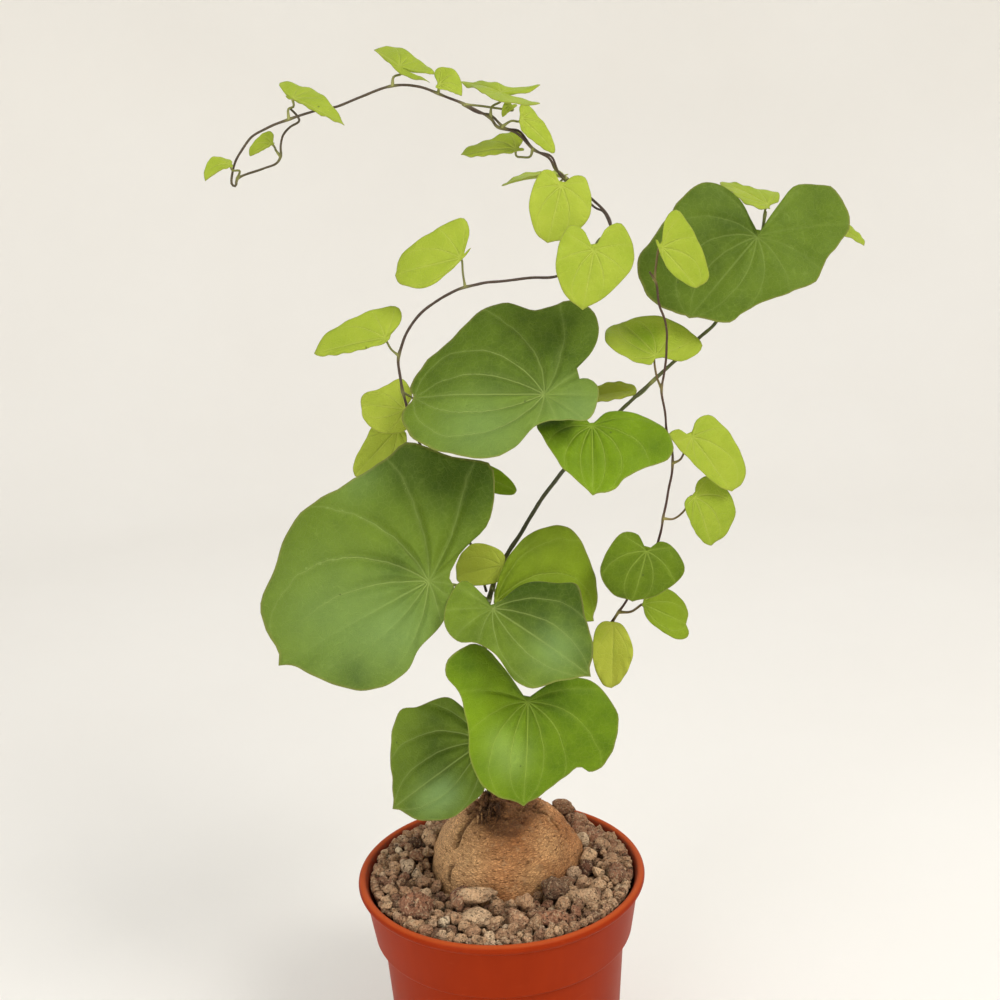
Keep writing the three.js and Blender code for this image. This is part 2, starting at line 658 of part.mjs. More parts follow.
const archLeaves = [
  {
    age: "mid",
    base: [-3, 14, 240],
    tip: [14, -5, -5],
    edgeA: [[7, 0, 2], [-1.5, 2, 3.5]],
    edgeB: [[5.5, -4.5, -6.5], [-3, -2, -4]],
    stalk: [[-13.5, 9, 233], [-8, 13, 236]],
  },
  {
    age: "young",
    base: [-29, 14, 257],
    tip: [-17, -1, -16],
    edgeA: [[-12, 1, -3], [-8, 2, 2]],
    edgeB: [[-3, -3, -13], [3, -2, -5]],
    stalk: [[-23, 6, 258], [-25.5, 14.5, 259.5]],
  },
  {
    age: "young",
    base: [-26, 8, 265],
    tip: [-16, 4, 2],
    edgeA: [[-9, 4, 7], [0, 4, 10]],
    edgeB: [[-9, -1, -8], [0, -1, -8]],
    stalk: [[-26, 1, 272], [-22.5, 4, 269], [-22.5, 9, 266]],
  },
  {
    age: "young",
    base: [-30, -6, 291],
    tip: [-25, 3, -3],
    edgeA: [[-11, 7, 6], [5, 6, 9]],
    edgeB: [[-11, -1, -4], [1, -1, -1]],
    stalk: [[-26.2, -1.3, 284.5], [-28.5, -3, 287]],
  },
  {
    age: "young",
    base: [-4, -10, 316],
    tip: [-22, 2, -4],
    edgeA: [[-12, 5, 7], [2, 5, 12]],
    edgeB: [[-11, -2, -9], [4, 1, 3]],
    stalk: [[-3, -7, 306.5], [-3.5, -8, 311]],
  },
  {
    age: "young",
    base: [38, -18, 317],
    tip: [-4, -4, -18],
    edgeA: [[-13, -2, -4], [-8, 1, 8]],
    edgeB: [[13, 0, -4], [9, 2, 8]],
    stalk: [[42.5, -8, 320.5], [40, -13, 320]],
  },
  {
    age: "young",
    base: [29, -8, 337],
    tip: [-5, -5, -17],
    edgeA: [[-11, -2, -5], [-6, 1, 5]],
    edgeB: [[9, -2, -10], [8, 1, 2]],
    stalk: [[34.5, 0, 337], [30.5, -4, 338]],
  },
  {
    age: "young",
    base: [28, 4, 340],
    tip: [-18, 1, 0],
    edgeA: [[-8, 8, 1], [2.5, 4.5, 0.5]],
    edgeB: [[-6, -4, 0], [4, -3, 0]],
    stalk: [[31, -1, 339.5], [30, 2, 339]],
  },
  {
    age: "young",
    base: [15, -4, 349],
    tip: [-18, 4, 1],
    edgeA: [[-7, 7, 4], [2, 6, 5]],
    edgeB: [[-5, -1, -2], [3, -1, 0]],
    stalk: [[20.5, -5, 349], [19.5, -5, 346.5], [17, -4.5, 346.5]],
  },
  {
    age: "young",
    base: [17, -10, 358],
    tip: [11, 0, -10],
    edgeA: [[6, 2, 0], [1, 2, 5]],
    edgeB: [[3, -1, -7], [0, -1, -4]],
    stalk: [[11, -7, 356], [14, -9, 357.5]],
  },
  {
    age: "young",
    base: [11, -8, 366],
    tip: [-13, 13, 7],
    edgeA: [[1, 4, 2], [13, 1, 0]],
    edgeB: [[-2, -6, -3], [12, -13, -7]],
    stalk: [[7.5, -8, 359], [8, -8, 362]],
  },
  {
    age: "young",
    base: [14, -10, 362],
    tip: [-3, -1, -3],
    edgeA: [[-2, 1, 1], [-1, 2, 3]],
    edgeB: [[-1, -1, -2], [2, 0, 0]],
    stalk: [[-0.5, -9, 363], [4, -8.5, 362.5], [10, -7.5, 361.5]],
  },
  {
    age: "young",
    base: [-8, -12, 369],
    tip: [7, -1, -3],
    edgeA: [[5, 3, 4], [0, 3, 5]],
    edgeB: [[3, -1, -2], [-1, -1, -1]],
    stalk: [[-8.5, -10, 366.5]],
  },
  {
    age: "young",
    base: [-20, -10, 375],
    tip: [-9, 12, 8],
    edgeA: [[2, 6, 5], [12, -8, -5]],
    edgeB: [[1, -3, -3], [11, -12, -8]],
    stalk: [[-22.5, -10, 369.5], [-22, -10, 372]],
  },
  {
    age: "young",
    base: [-54, -8, 367],
    tip: [17, -12, -7],
    edgeA: [[6, 4, 2], [-5, 8, 5]],
    edgeB: [[6, -3, -2], [-3, 2, 1]],
    stalk: [[-55.5, -9, 361], [-55.5, -8, 364]],
  },
  {
    age: "young",
    base: [-63, 2, 354],
    tip: [-8, 0, -3],
    edgeA: [[-5, 2, 2], [-1, 3, 4]],
    edgeB: [[-4, 0, -2], [1, -1, 0]],
    stalk: [[-60.5, 1, 350], [-62, 2, 352]],
  },
  {
    age: "young",
    base: [-75, -9, 348],
    tip: [-8, -3, -4],
    edgeA: [[-6, 2, 2], [0, 2, 1]],
    edgeB: [[-4, -2, -2], [1, -1, -1]],
    stalk: [[-74.5, -2, 343.5], [-73, -5, 346]],
  },
];

// How strongly the two halves fold up and the tip hangs down, and how thick the stalk is, by age

const HABIT = {
  old: { fold: 0.1, droop: 0.12, stalkRadius: 0.6 },
  mid: { fold: 0.14, droop: 0.14, stalkRadius: 0.5 },
  young: { fold: 0.16, droop: 0.12, stalkRadius: 0.4 },
};

function growLeaves(prefix, leaves) {
  return leaves.map((places, index) => {
    const leaf = { ...places, ...HABIT[places.age] };
    const number = String(index + 1).padStart(2, "0");
    addPiece(`${prefix}_leaf_${number}`, makeBlade(leaf), leaf.age);
    return makeStalk(leaf, leaf.stalkRadius);
  });
}

// Stems

const mainRoute = [
  [-3, 8, 112], [-3, 8, 119.5], [-3.5, 4, 135.5], [-3.5, 0, 153], [-3, -3, 169.5], [-2, -4, 184.5],
  [-0.5, -4, 197], [3, -3, 207.5], [7, -2, 214.5], [13, 0, 223], [19.5, 0, 233], [27.5, 0, 243],
  [37.5, 0, 253.5], [48, 0, 263.5], [61.5, 0, 275], [73.5, 2, 285], [80, 4, 290.5], [90, 9, 303.5],
  [96.5, 12, 316.5], [98.5, 14, 325.5],
];

const rightRoute = [
  [-1.5, 0.3, 149], [5.5, -4, 156], [16.5, -8, 165], [27, -7, 173], [35.6, 0.2, 178.8], [42.7, 2, 187.2],
  [46.9, -1, 194.2], [52.5, -4, 205], [58, -4, 215], [60.5, -6, 227], [62.5, -7, 238], [63.5, -8, 245],
  [63, -8, 251.5], [61.5, -8, 257], [61, -8, 263.5], [60, -8, 270.5], [61, -9, 276.5], [61.5, -11, 285],
  [61, -13, 293], [59, -15, 298.5], [57.5, -17, 306], [55.5, -18, 309.5],
];

const archRoute = [
  [-0.8, -2.6, 202], [-3.5, 4, 211.5], [-9.5, 8, 225], [-16, 10, 239], [-22, 8, 254], [-25, 2, 267.5],
  [-26, 0, 274.5], [-26.5, -1, 282.5], [-25.5, -2, 287], [-20, -4, 296.5], [-9.5, -6, 304],
  [-3.5, -7, 306.5], [2.5, -8, 307.5], [15, -8, 308.5], [26.5, -8, 309], [36, -8, 312.5],
  [42, -8, 318.5], [44.5, -8, 324.5], [43.5, -7, 327.5], [40, -5, 331.5], [34.5, 0, 337],
  [28, -2, 342], [25.5, -4, 346], [20.5, -5, 349], [15.5, -6, 354], [9.5, -7, 356], [7.5, -8, 358.5],
  [-0.5, -9, 363], [-8, -10, 366.5], [-15, -10, 369], [-22.5, -10, 369.5], [-32.5, -10, 366.5],
  [-40, -10, 364], [-47, -10, 363], [-54.5, -9, 361], [-61.5, -8, 359], [-68, -7, 356],
  [-72, -6, 351.5], [-74.5, -5, 347.5], [-76, -4, 342], [-75, -3, 341.5], [-74.5, -2, 343.5],
  [-71.5, -1, 345], [-66, 0, 346.5], [-62, 1, 348], [-60.5, 1, 350], [-60, 0, 353.5],
  [-59, 0, 356.5], [-56.5, 0, 359], [-53.5, -1, 360.5], [-53.5, -4, 362],
  [-55, -7, 364],
];

const secondStrand = [
  [44.5, -8, 324], [42.5, -3, 328.5], [40.5, -1, 329.5], [34.5, 1, 335.5], [29, -2, 340.5],
  [26, -6, 346.5], [21, -5, 348.5], [16.5, -5, 354.5], [12, -7, 355.5], [7.5, -7, 359.5],
  [3.5, -8, 360.5], [-1, -9, 363],
];

const socket = rod([[-3, 8, 111.5], [-3, 8, 122]], STEM_RADIUS + GAP, STEM_RADIUS + GAP, 8, 1);
const mainStalks = growLeaves("main", mainLeaves);
const rightStalks = growLeaves("right", rightLeaves);
const archStalks = growLeaves("arch", archLeaves);
const mainStem = rod(mainRoute, STEM_RADIUS, 0.7, 6, 48);
const rightVine = rod(rightRoute, VINE_RADIUS, 0.35, 5, 44);
const archVine = rod(archRoute, VINE_RADIUS, 0.35, 5, 90);
const twined = rod(secondStrand, 0.38, 0.38, 4, 20);

addPiece("pot", makePot(), "pot");
addPiece("grit", makeGrit(), "grit");
addPiece("caudex", makeCaudex(socket), "bark");
addPiece("main_stem", toGeometry(join([mainStem, ...mainStalks])), "stem");
addPiece("right_vine", toGeometry(join([rightVine, ...rightStalks])), "redVine");
addPiece("arch_vine", toGeometry(join([archVine, twined, ...archStalks])), "greyVine");

export default plant;
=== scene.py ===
"""Dresses the potted tortoise plant: finer pot, grains, tuber, stems and leaf blades, with materials,
a pale studio round them and the camera. Lengths are in millimetres until a mesh is made."""

import bmesh
import bpy
import numpy as np
from mathutils import Matrix, Vector


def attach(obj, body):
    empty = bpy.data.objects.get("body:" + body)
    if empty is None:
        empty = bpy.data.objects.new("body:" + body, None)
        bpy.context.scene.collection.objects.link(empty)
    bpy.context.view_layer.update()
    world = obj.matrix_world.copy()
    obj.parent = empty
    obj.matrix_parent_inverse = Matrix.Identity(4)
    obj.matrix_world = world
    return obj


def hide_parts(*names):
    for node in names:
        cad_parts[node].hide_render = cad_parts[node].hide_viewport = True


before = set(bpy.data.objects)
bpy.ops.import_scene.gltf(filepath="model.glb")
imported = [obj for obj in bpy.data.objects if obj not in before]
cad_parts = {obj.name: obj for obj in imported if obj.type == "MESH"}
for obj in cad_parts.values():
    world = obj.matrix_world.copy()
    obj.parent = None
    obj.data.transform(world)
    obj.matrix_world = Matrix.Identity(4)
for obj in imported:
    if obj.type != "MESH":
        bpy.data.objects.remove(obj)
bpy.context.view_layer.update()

MM = 0.001

# Measures of the pot, the filling and the tuber, as in the part's source

POT_HEIGHT = 95
RIM_RADIUS = 52.5
BASE_RADIUS = 39.5
POT_WALL = 1.5
POT_FLOOR = 2.4
LIP_WIDTH = 3.9
COLLAR_FOOT = 72
COLLAR_RADIUS = 47.3
BODY_RADIUS = 44.4
DRAIN_HOLES = 6
DRAIN_RADIUS = 3.5
DRAIN_RING = 26
BED_HEIGHT = 85.5
CAUDEX_CENTRE = np.array([2.0, 9.0, 90.0])
CAUDEX_RADIUS = 28.5
CAUDEX_RISE = 25.5
CAUDEX_SINK = 24

# Leaves: where the stalk meets the blade, then the tip and the places of the two edges measured
# from there, and the stalk's route from its stem. All as in the part's source.


def small_leaf(age, base, tip, side_a, lobe_a, side_b, lobe_b, *stalk):
    """A leaf whose two edges are each given by their side and their back lobe alone."""
    return dict(age=age, base=base, tip=tip, edge_a=[side_a, lobe_a], edge_b=[side_b, lobe_b], stalk=stalk)


LEAVES = {
    "main_leaf_01": dict(
        age="old", base=[-4, -14, 151], tip=[-34, -1.5, -23], stalk=[[-3.5, 1, 146.5], [-3.5, -6, 149.5]],
        edge_a=[
            [-35, 2.5, -15], [-34, 7, -6], [-28.5, 12, 8], [-22.5, 10.5, 9.5], [-17, 10.5, 12],
            [-11, 9.5, 13], [-3.5, 4.5, 7], [0.5, 1, 2],
        ],
        edge_b=[
            [-29.5, -3.5, -25], [-24, -6, -26.5], [-11.5, -8, -24], [-5, -8, -19.5], [0, -7, -15],
            [0, -2.5, -5], [1.2, -0.6, -1.2],
        ],
    ),
    "main_leaf_02": dict(
        age="mid", base=[11.5, -32, 172.5], tip=[-1.5, -10, -32.5], stalk=[[-3, -1, 161], [4, -16, 170]],
        edge_a=[
            [-9, -10.5, -30.2], [-15.6, -10.5, -25.2], [-19.8, -9, -15.5], [-20.8, -6, -5],
            [-23.5, -4, 7], [-27.5, -3.5, 12.5], [-26.5, -2, 18], [-18, 1.5, 21], [-12, 2, 17.5],
            [-5.5, 0.5, 6.5], [-1, 0.5, 2],
        ],
        edge_b=[
            [4.5, -8, -30.5], [10.5, -5, -26.5], [16.5, -2.5, -23], [20.5, -2, -25.5], [26, 0.5, -22],
            [29, 4.5, -11.5], [28, 6, -5], [21, 7, 4], [11.5, 5, 6], [5, 2.5, 4], [1, 0.5, 1.5],
        ],
    ),
    "main_leaf_03": dict(
        age="old", base=[1.5, -33, 205.5], tip=[30, -12.5, -18], stalk=[[0, -4, 199], [-1, -15, 202]],
        edge_a=[
            [32, -9, -13], [30.5, -3, -4], [27.5, 3.5, 5.5], [20.5, 4, 6], [13, 4.5, 7], [8, 3.5, 5.5],
            [3, 1.5, 2.5], [0.2, 0.7, 1.3],
        ],
        edge_b=[
            [25, -13.5, -19.5], [18.5, -14, -20.5], [11.5, -15, -22], [6.5, -14, -20.5], [1, -9, -14],
            [-6, -6.5, -9.5], [-11.5, -6, -9], [-16, -3, -4], [-14, 2.5, 3.5], [-9, 5.5, 8],
            [-3, 2.5, 4], [-0.6, 0.6, 1],
        ],
    ),
    "main_leaf_04": small_leaf(
        "young", [5, -7, 212], [-17, 5, -4], [-9, 6, 7], [0, 2, 5], [-9, 0, -7], [-1, -2, -5],
        [6, -2.5, 212.5]),
    "main_leaf_05": dict(
        age="mid", base=[2.5, -14, 201.5], tip=[33.5, 2.5, -9], stalk=[[1.5, -3, 203.5], [2.5, -8, 202.5]],
        edge_a=[
            [36, 5.5, -2.5], [35, 8.5, 6], [31, 11, 15], [25, 12.5, 22], [14, 10.5, 21.5], [6, 7, 16],
            [1.5, 3.5, 9], [-0.7, 1, 2.4],
        ],
        edge_b=[
            [28, 2, -9], [19.5, -1, -12.5], [10.5, -2.5, -12.5], [3, -2, -7], [-0.7, -0.4, -1.4],
        ],
    ),
    "main_leaf_06": dict(
        age="old", base=[-19, -26, 213.5], tip=[-53.5, 1.5, -27], stalk=[[-0.5, -4, 199], [-6, -12, 206]],
        edge_a=[
            [-59, 6.5, -16.5], [-59.5, 10.5, -6], [-53, 13.5, 5.5], [-44, 17, 19.5],
            [-27.5, 16.5, 28.5], [-13, 17, 37.5], [-2.5, 16.5, 43], [10.5, 12.5, 38.5], [22, 9, 36.5],
            [24, 6.5, 31.5], [20.5, 2, 17.5], [12, 1, 9.5], [7.5, 0, 3],
        ],
        edge_b=[
            [-45, -1, -29], [-29, -6.5, -34], [-20.5, -8.5, -34], [-9, -9, -28.5], [-4, -7.5, -21.5],
            [4.5, -5.5, -12], [8.5, -3, -3.5], [7, -1, 1],
        ],
    ),
    "main_leaf_07": dict(
        age="old", base=[21, -18, 272], tip=[-42, 3, 2.5], stalk=[[37.5, 0, 253.5], [31, -6, 262]],
        edge_a=[
            [-44.5, 6.5, 6.5], [-40, 11, 12], [-31, 16, 17.5], [-19.5, 22, 24.5], [-11.5, 24, 27],
            [-1.5, 21.5, 24], [9.5, 22.5, 25.5], [18.5, 19, 21.5], [19, 13.5, 15.5], [16.5, 9, 10.5],
            [11, 5.5, 6.5],
        ],
        edge_b=[
            [-47, -0.5, -1.5], [-45, -6.5, -8], [-34, -12, -14.5], [-21.5, -16, -18],
            [-11, -13.5, -15.5], [-3, -8, -9], [6.5, -7.5, -8], [13.5, -7, -8], [17, -2.5, -2.5],
            [17, 1, 1.5], [11, 4, 4.5],
        ],
    ),
    "main_leaf_08": dict(
        age="mid", base=[36.5, -12, 260], tip=[-1, -16.5, -17.5], stalk=[[44, 0, 260], [41, -6, 261]],
        edge_a=[
            [-5, -15, -15], [-11, -11.5, -10.5], [-15.5, -7, -5], [-18.5, -2.5, 0], [-15, 1, 3],
            [-8, 2.5, 4], [-2.5, 2, 2.5], [-0.8, 0.8, 1.2],
        ],
        edge_b=[
            [5.5, -15.5, -17.5], [10.5, -13, -15], [16.5, -10, -13], [23.5, -8, -12], [25.5, -6, -10],
            [24, -1, -4.5], [18, 3, 0.5], [11.5, 4.5, 3], [5, 3.5, 3], [0.8, 1, 1.2],
        ],
    ),
    "main_leaf_09": small_leaf(
        "mid", [52.5, 8, 267.8], [-20, 6, -1.5], [-8, 6.5, 2.6], [0.8, 2.5, 1], [-8, -3.5, -3],
        [0.8, -1.8, -0.8], [58.2, 0, 272.2], [55.3, 6.5, 267.3]),
    "main_leaf_10": dict(
        age="old", base=[93.5, 3, 318], tip=[-23, -12, -22.5], stalk=[[96, 11, 314], [96, 8, 316]],
        edge_a=[
            [-28.5, -12, -21], [-35, -11.5, -18.5], [-39, -9.5, -13], [-40.5, -7, -8], [-39, -5, -3],
            [-35, -2.5, 1], [-29, 1.5, 8.5], [-23, 4.5, 14.5], [-17, 6.5, 17.5], [-11.5, 6.5, 16.5],
            [-5.5, 5, 11.5], [-2, 2, 5], [-0.5, 0.7, 1.8],
        ],
        edge_b=[
            [-19.5, -12.5, -24], [-11.5, -13, -26], [-6.5, -11, -23.5], [-1, -9.5, -21], [9, -8, -19],
            [18, -5.5, -15.5], [22.5, -2, -8.5], [30, 2.5, 0], [29, 6.5, 9], [26, 8.5, 13.5],
            [20, 8.5, 15], [13.5, 8, 15], [6, 4, 7], [1, 0.8, 1.6],
        ],
    ),
    "main_leaf_11": small_leaf(
        "young", [99, 14, 328], [-13, 14, 10], [-4, 10, 6], [5, 7, 3], [-8, -2, 0], [0, -3, -2],
        [98.5, 14, 324.5]),
    "main_leaf_12": small_leaf(
        "young", [122, 14, 320], [9, -6, -5], [6, 0, -1], [2, 4, 2], [4, -6, -4], [-2, -6, -3],
        [97, 12, 319], [111, 18, 320]),
    "right_leaf_01": small_leaf(
        "young", [43, -1, 187], [-1, -2, -24], [-8, -1, -11], [-6, 0, 0], [7, -1, -10], [4, 0, -1],
        [45.1, 0.3, 191.2]),
    "right_leaf_02": small_leaf(
        "mid", [54, 2, 193], [16, 0, -8], [12, 3, 3], [5, 3, 6], [12, -3, -13], [1, -2, -5],
        [45.1, 0.3, 191.2], [49, -1, 191.5]),
    "right_leaf_03": small_leaf(
        "mid", [54, -10, 216], [-5, -4, -17], [-17, -3, -5], [-9, 0, 7], [13, 0, -8], [9, 2, 1],
        [58, -4, 215]),
    "right_leaf_04": small_leaf(
        "young", [71, -6, 233], [7, 1, -18], [-2, -1, -9], [-4, -1, -2], [15, 6, -6], [7, 6, 6],
        [60.5, -6, 226], [64, -5, 225.5], [68, -3.5, 228]),
    "right_leaf_05": small_leaf(
        "young", [70, -8, 254], [14, -1, -19], [-1, -3, -8], [-9, -3, 2], [18, 2, -8], [6, 3, 7],
        [63.5, -8, 245.5], [66, -9, 247]),
    "right_leaf_06": small_leaf(
        "young", [59, -2, 281], [-10, 8, 12], [-17, 1, 4], [-6, -2, -3], [7, 8, 10], [16, 2, 1],
        [60, -8, 271], [59, -5, 274]),
    "right_leaf_07": small_leaf(
        "young", [59, -21, 317], [12, 2, -13], [15, 3, -5], [4, 1, 12], [2, 0, -7], [-2, 0, 3],
        [57, -17, 307]),
    "arch_leaf_01": small_leaf(
        "mid", [-3, 14, 240], [14, -5, -5], [7, 0, 2], [-1.5, 2, 3.5], [5.5, -4.5, -6.5], [-3, -2, -4],
        [-13.5, 9, 233], [-8, 13, 236]),
    "arch_leaf_02": small_leaf(
        "young", [-29, 14, 257], [-17, -1, -16], [-12, 1, -3], [-8, 2, 2], [-3, -3, -13], [3, -2, -5],
        [-23, 6, 258], [-25.5, 14.5, 259.5]),
    "arch_leaf_03": small_leaf(
        "young", [-26, 8, 265], [-16, 4, 2], [-9, 4, 7], [0, 4, 10], [-9, -1, -8], [0, -1, -8],
        [-26, 1, 272], [-22.5, 4, 269], [-22.5, 9, 266]),
    "arch_leaf_04": small_leaf(
        "young", [-30, -6, 291], [-25, 3, -3], [-11, 7, 6], [5, 6, 9], [-11, -1, -4], [1, -1, -1],
        [-26.2, -1.3, 284.5], [-28.5, -3, 287]),
    "arch_leaf_05": small_leaf(
        "young", [-4, -10, 316], [-22, 2, -4], [-12, 5, 7], [2, 5, 12], [-11, -2, -9], [4, 1, 3],
        [-3, -7, 306.5], [-3.5, -8, 311]),
    "arch_leaf_06": small_leaf(
        "young", [38, -18, 317], [-4, -4, -18], [-13, -2, -4], [-8, 1, 8], [13, 0, -4], [9, 2, 8],
        [42.5, -8, 320.5], [40, -13, 320]),
    "arch_leaf_07": small_leaf(
        "young", [29, -8, 337], [-5, -5, -17], [-11, -2, -5], [-6, 1, 5], [9, -2, -10], [8, 1, 2],
        [34.5, 0, 337], [30.5, -4, 338]),
    "arch_leaf_08": small_leaf(
        "young", [28, 4, 340], [-18, 1, 0], [-8, 8, 1], [2.5, 4.5, 0.5], [-6, -4, 0], [4, -3, 0],
        [31, -1, 339.5], [30, 2, 339]),
    "arch_leaf_09": small_leaf(
        "young", [15, -4, 349], [-18, 4, 1], [-7, 7, 4], [2, 6, 5], [-5, -1, -2], [3, -1, 0],
        [20.5, -5, 349], [19.5, -5, 346.5], [17, -4.5, 346.5]),
    "arch_leaf_10": small_leaf(
        "young", [17, -10, 358], [11, 0, -10], [6, 2, 0], [1, 2, 5], [3, -1, -7], [0, -1, -4],
        [11, -7, 356], [14, -9, 357.5]),
    "arch_leaf_11": small_leaf(
        "young", [11, -8, 366], [-13, 13, 7], [1, 4, 2], [13, 1, 0], [-2, -6, -3], [12, -13, -7],
        [7.5, -8, 359], [8, -8, 362]),
    "arch_leaf_12": small_leaf(
        "young", [14, -10, 362], [-3, -1, -3], [-2, 1, 1], [-1, 2, 3], [-1, -1, -2], [2, 0, 0],
        [-0.5, -9, 363], [4, -8.5, 362.5], [10, -7.5, 361.5]),
    "arch_leaf_13": small_leaf(
        "young", [-8, -12, 369], [7, -1, -3], [5, 3, 4], [0, 3, 5], [3, -1, -2], [-1, -1, -1],
        [-8.5, -10, 366.5]),
    "arch_leaf_14": small_leaf(
        "young", [-20, -10, 375], [-9, 12, 8], [2, 6, 5], [12, -8, -5], [1, -3, -3], [11, -12, -8],
        [-22.5, -10, 369.5], [-22, -10, 372]),
    "arch_leaf_15": small_leaf(
        "young", [-54, -8, 367], [17, -12, -7], [6, 4, 2], [-5, 8, 5], [6, -3, -2], [-3, 2, 1],
        [-55.5, -9, 361], [-55.5, -8, 364]),
    "arch_leaf_16": small_leaf(
        "young", [-63, 2, 354], [-8, 0, -3], [-5, 2, 2], [-1, 3, 4], [-4, 0, -2], [1, -1, 0],
        [-60.5, 1, 350], [-62, 2, 352]),
    "arch_leaf_17": small_leaf(
        "young", [-75, -9, 348], [-8, -3, -4], [-6, 2, 2], [0, 2, 1], [-4, -2, -2], [1, -1, -1],
        [-74.5, -2, 343.5], [-73, -5, 346]),
}

# How strongly a blade folds up along its midrib and hangs at its tip, and how thick its stalk is

HABIT = {
    "old": dict(fold=0.1, droop=0.12, stalk_radius=0.6),
    "mid": dict(fold=0.14, droop=0.14, stalk_radius=0.5),
    "young": dict(fold=0.16, droop=0.12, stalk_radius=0.4),
}

# The stems' routes

MAIN_ROUTE = [
    [-3, 8, 112], [-3, 8, 119.5], [-3.5, 4, 135.5], [-3.5, 0, 153], [-3, -3, 169.5], [-2, -4, 184.5],
    [-0.5, -4, 197], [3, -3, 207.5], [7, -2, 214.5], [13, 0, 223], [19.5, 0, 233], [27.5, 0, 243],
    [37.5, 0, 253.5], [48, 0, 263.5], [61.5, 0, 275], [73.5, 2, 285], [80, 4, 290.5], [90, 9, 303.5],
    [96.5, 12, 316.5], [98.5, 14, 325.5],
]

RIGHT_ROUTE = [
    [-1.5, 0.3, 149], [5.5, -4, 156], [16.5, -8, 165], [27, -7, 173], [35.6, 0.2, 178.8], [42.7, 2, 187.2],
    [46.9, -1, 194.2], [52.5, -4, 205], [58, -4, 215], [60.5, -6, 227], [62.5, -7, 238], [63.5, -8, 245],
    [63, -8, 251.5], [61.5, -8, 257], [61, -8, 263.5], [60, -8, 270.5], [61, -9, 276.5], [61.5, -11, 285],
    [61, -13, 293], [59, -15, 298.5], [57.5, -17, 306], [55.5, -18, 309.5],
]

ARCH_ROUTE = [
    [-0.8, -2.6, 202], [-3.5, 4, 211.5], [-9.5, 8, 225], [-16, 10, 239], [-22, 8, 254], [-25, 2, 267.5],
    [-26, 0, 274.5], [-26.5, -1, 282.5], [-25.5, -2, 287], [-20, -4, 296.5], [-9.5, -6, 304],
    [-3.5, -7, 306.5], [2.5, -8, 307.5], [15, -8, 308.5], [26.5, -8, 309], [36, -8, 312.5], [42, -8, 318.5],
    [44.5, -8, 324.5], [43.5, -7, 327.5], [40, -5, 331.5], [34.5, 0, 337], [28, -2, 342], [25.5, -4, 346],
    [20.5, -5, 349], [15.5, -6, 354], [9.5, -7, 356], [7.5, -8, 358.5], [-0.5, -9, 363], [-8, -10, 366.5],
    [-15, -10, 369], [-22.5, -10, 369.5], [-32.5, -10, 366.5], [-40, -10, 364], [-47, -10, 363],
    [-54.5, -9, 361], [-61.5, -8, 359], [-68, -7, 356], [-72, -6, 351.5], [-74.5, -5, 347.5],
    [-76, -4, 342], [-75, -3, 341.5], [-74.5, -2, 343.5], [-71.5, -1, 345], [-66, 0, 346.5], [-62, 1, 348],
    [-60.5, 1, 350], [-60, 0, 353.5], [-59, 0, 356.5], [-56.5, 0, 359], [-53.5, -1, 360.5],
    [-53.5, -4, 362], [-55, -7, 364],
]

SECOND_STRAND = [
    [44.5, -8, 324], [42.5, -3, 328.5], [40.5, -1, 329.5], [34.5, 1, 335.5], [29, -2, 340.5],
    [26, -6, 346.5], [21, -5, 348.5], [16.5, -5, 354.5], [12, -7, 355.5], [7.5, -7, 359.5],
    [3.5, -8, 360.5], [-1, -9, 363],
]


# Small sums used by all shapes


def unit(vectors):
    """Vectors brought to length one."""
    vectors = np.asarray(vectors, float)
    return vectors / np.linalg.norm(vectors, axis=-1, keepdims=True)


def rumple(points, size, seed, waves=14):
    """Smooth irregular noise, mostly between -1 and 1: the mean of sine waves that run in seeded
    directions, each about `size` long."""
    draw = np.random.default_rng(seed)
    pace = unit(draw.normal(size=(waves, 3))) * (2 * np.pi / size * draw.uniform(0.6, 1.5, (waves, 1)))
    phase = draw.uniform(0, 2 * np.pi, waves)
    return np.sin(points @ pace.T + phase).sum(axis=-1) / np.sqrt(waves) * 0.8


def smooth_route(places, steps):
    """Evenly spaced points along a centripetal Catmull-Rom curve through the places: between two
    places it is the cubic whose end slopes weigh each neighbour by the root of its distance."""
    places = np.asarray(places, float)
    padded = np.vstack([2 * places[0] - places[1], places, 2 * places[-1] - places[-2]])
    before, start, end, after = padded[:-3], padded[1:-2], padded[2:-1], padded[3:]
    roots = [np.sqrt(np.linalg.norm(b - a, axis=1))[:, None] for a, b in zip(
        (before, start, end), (start, end, after))]
    first, middle, last = roots
    leave = (start - before) / first - (end - before) / (first + middle) + (end - start) / middle
    arrive = (end - start) / middle - (after - start) / (middle + last) + (after - end) / last
    start, end, leave, arrive = (
        part[:, None, :] for part in (start, end, leave * middle, arrive * middle))
    t = np.linspace(0, 1, 30, endpoint=False)[None, :, None]
    curve = start * (2 * t**3 - 3 * t**2 + 1) + leave * (t**3 - 2 * t**2 + t)
    curve += end * (3 * t**2 - 2 * t**3) + arrive * (t**3 - t**2)
    dense = np.vstack([curve.reshape(-1, 3), places[-1]])
    length = np.append(0, np.cumsum(np.linalg.norm(np.diff(dense, axis=0), axis=1)))
    wanted = np.linspace(0, length[-1], steps + 1)
    return np.column_stack([np.interp(wanted, length, dense[:, axis]) for axis in range(3)])


def joined(parts):
    """Several surfaces as one: points and tones stacked, and faces numbered on."""
    points, faces, tones, count = [], [], [], 0
    for part_points, part_faces, part_tones in parts:
        points.append(part_points)
        tones.append(part_tones)
        faces += [group + count for group in part_faces]
        count += len(part_points)
    return np.vstack(points), faces, np.vstack(tones)


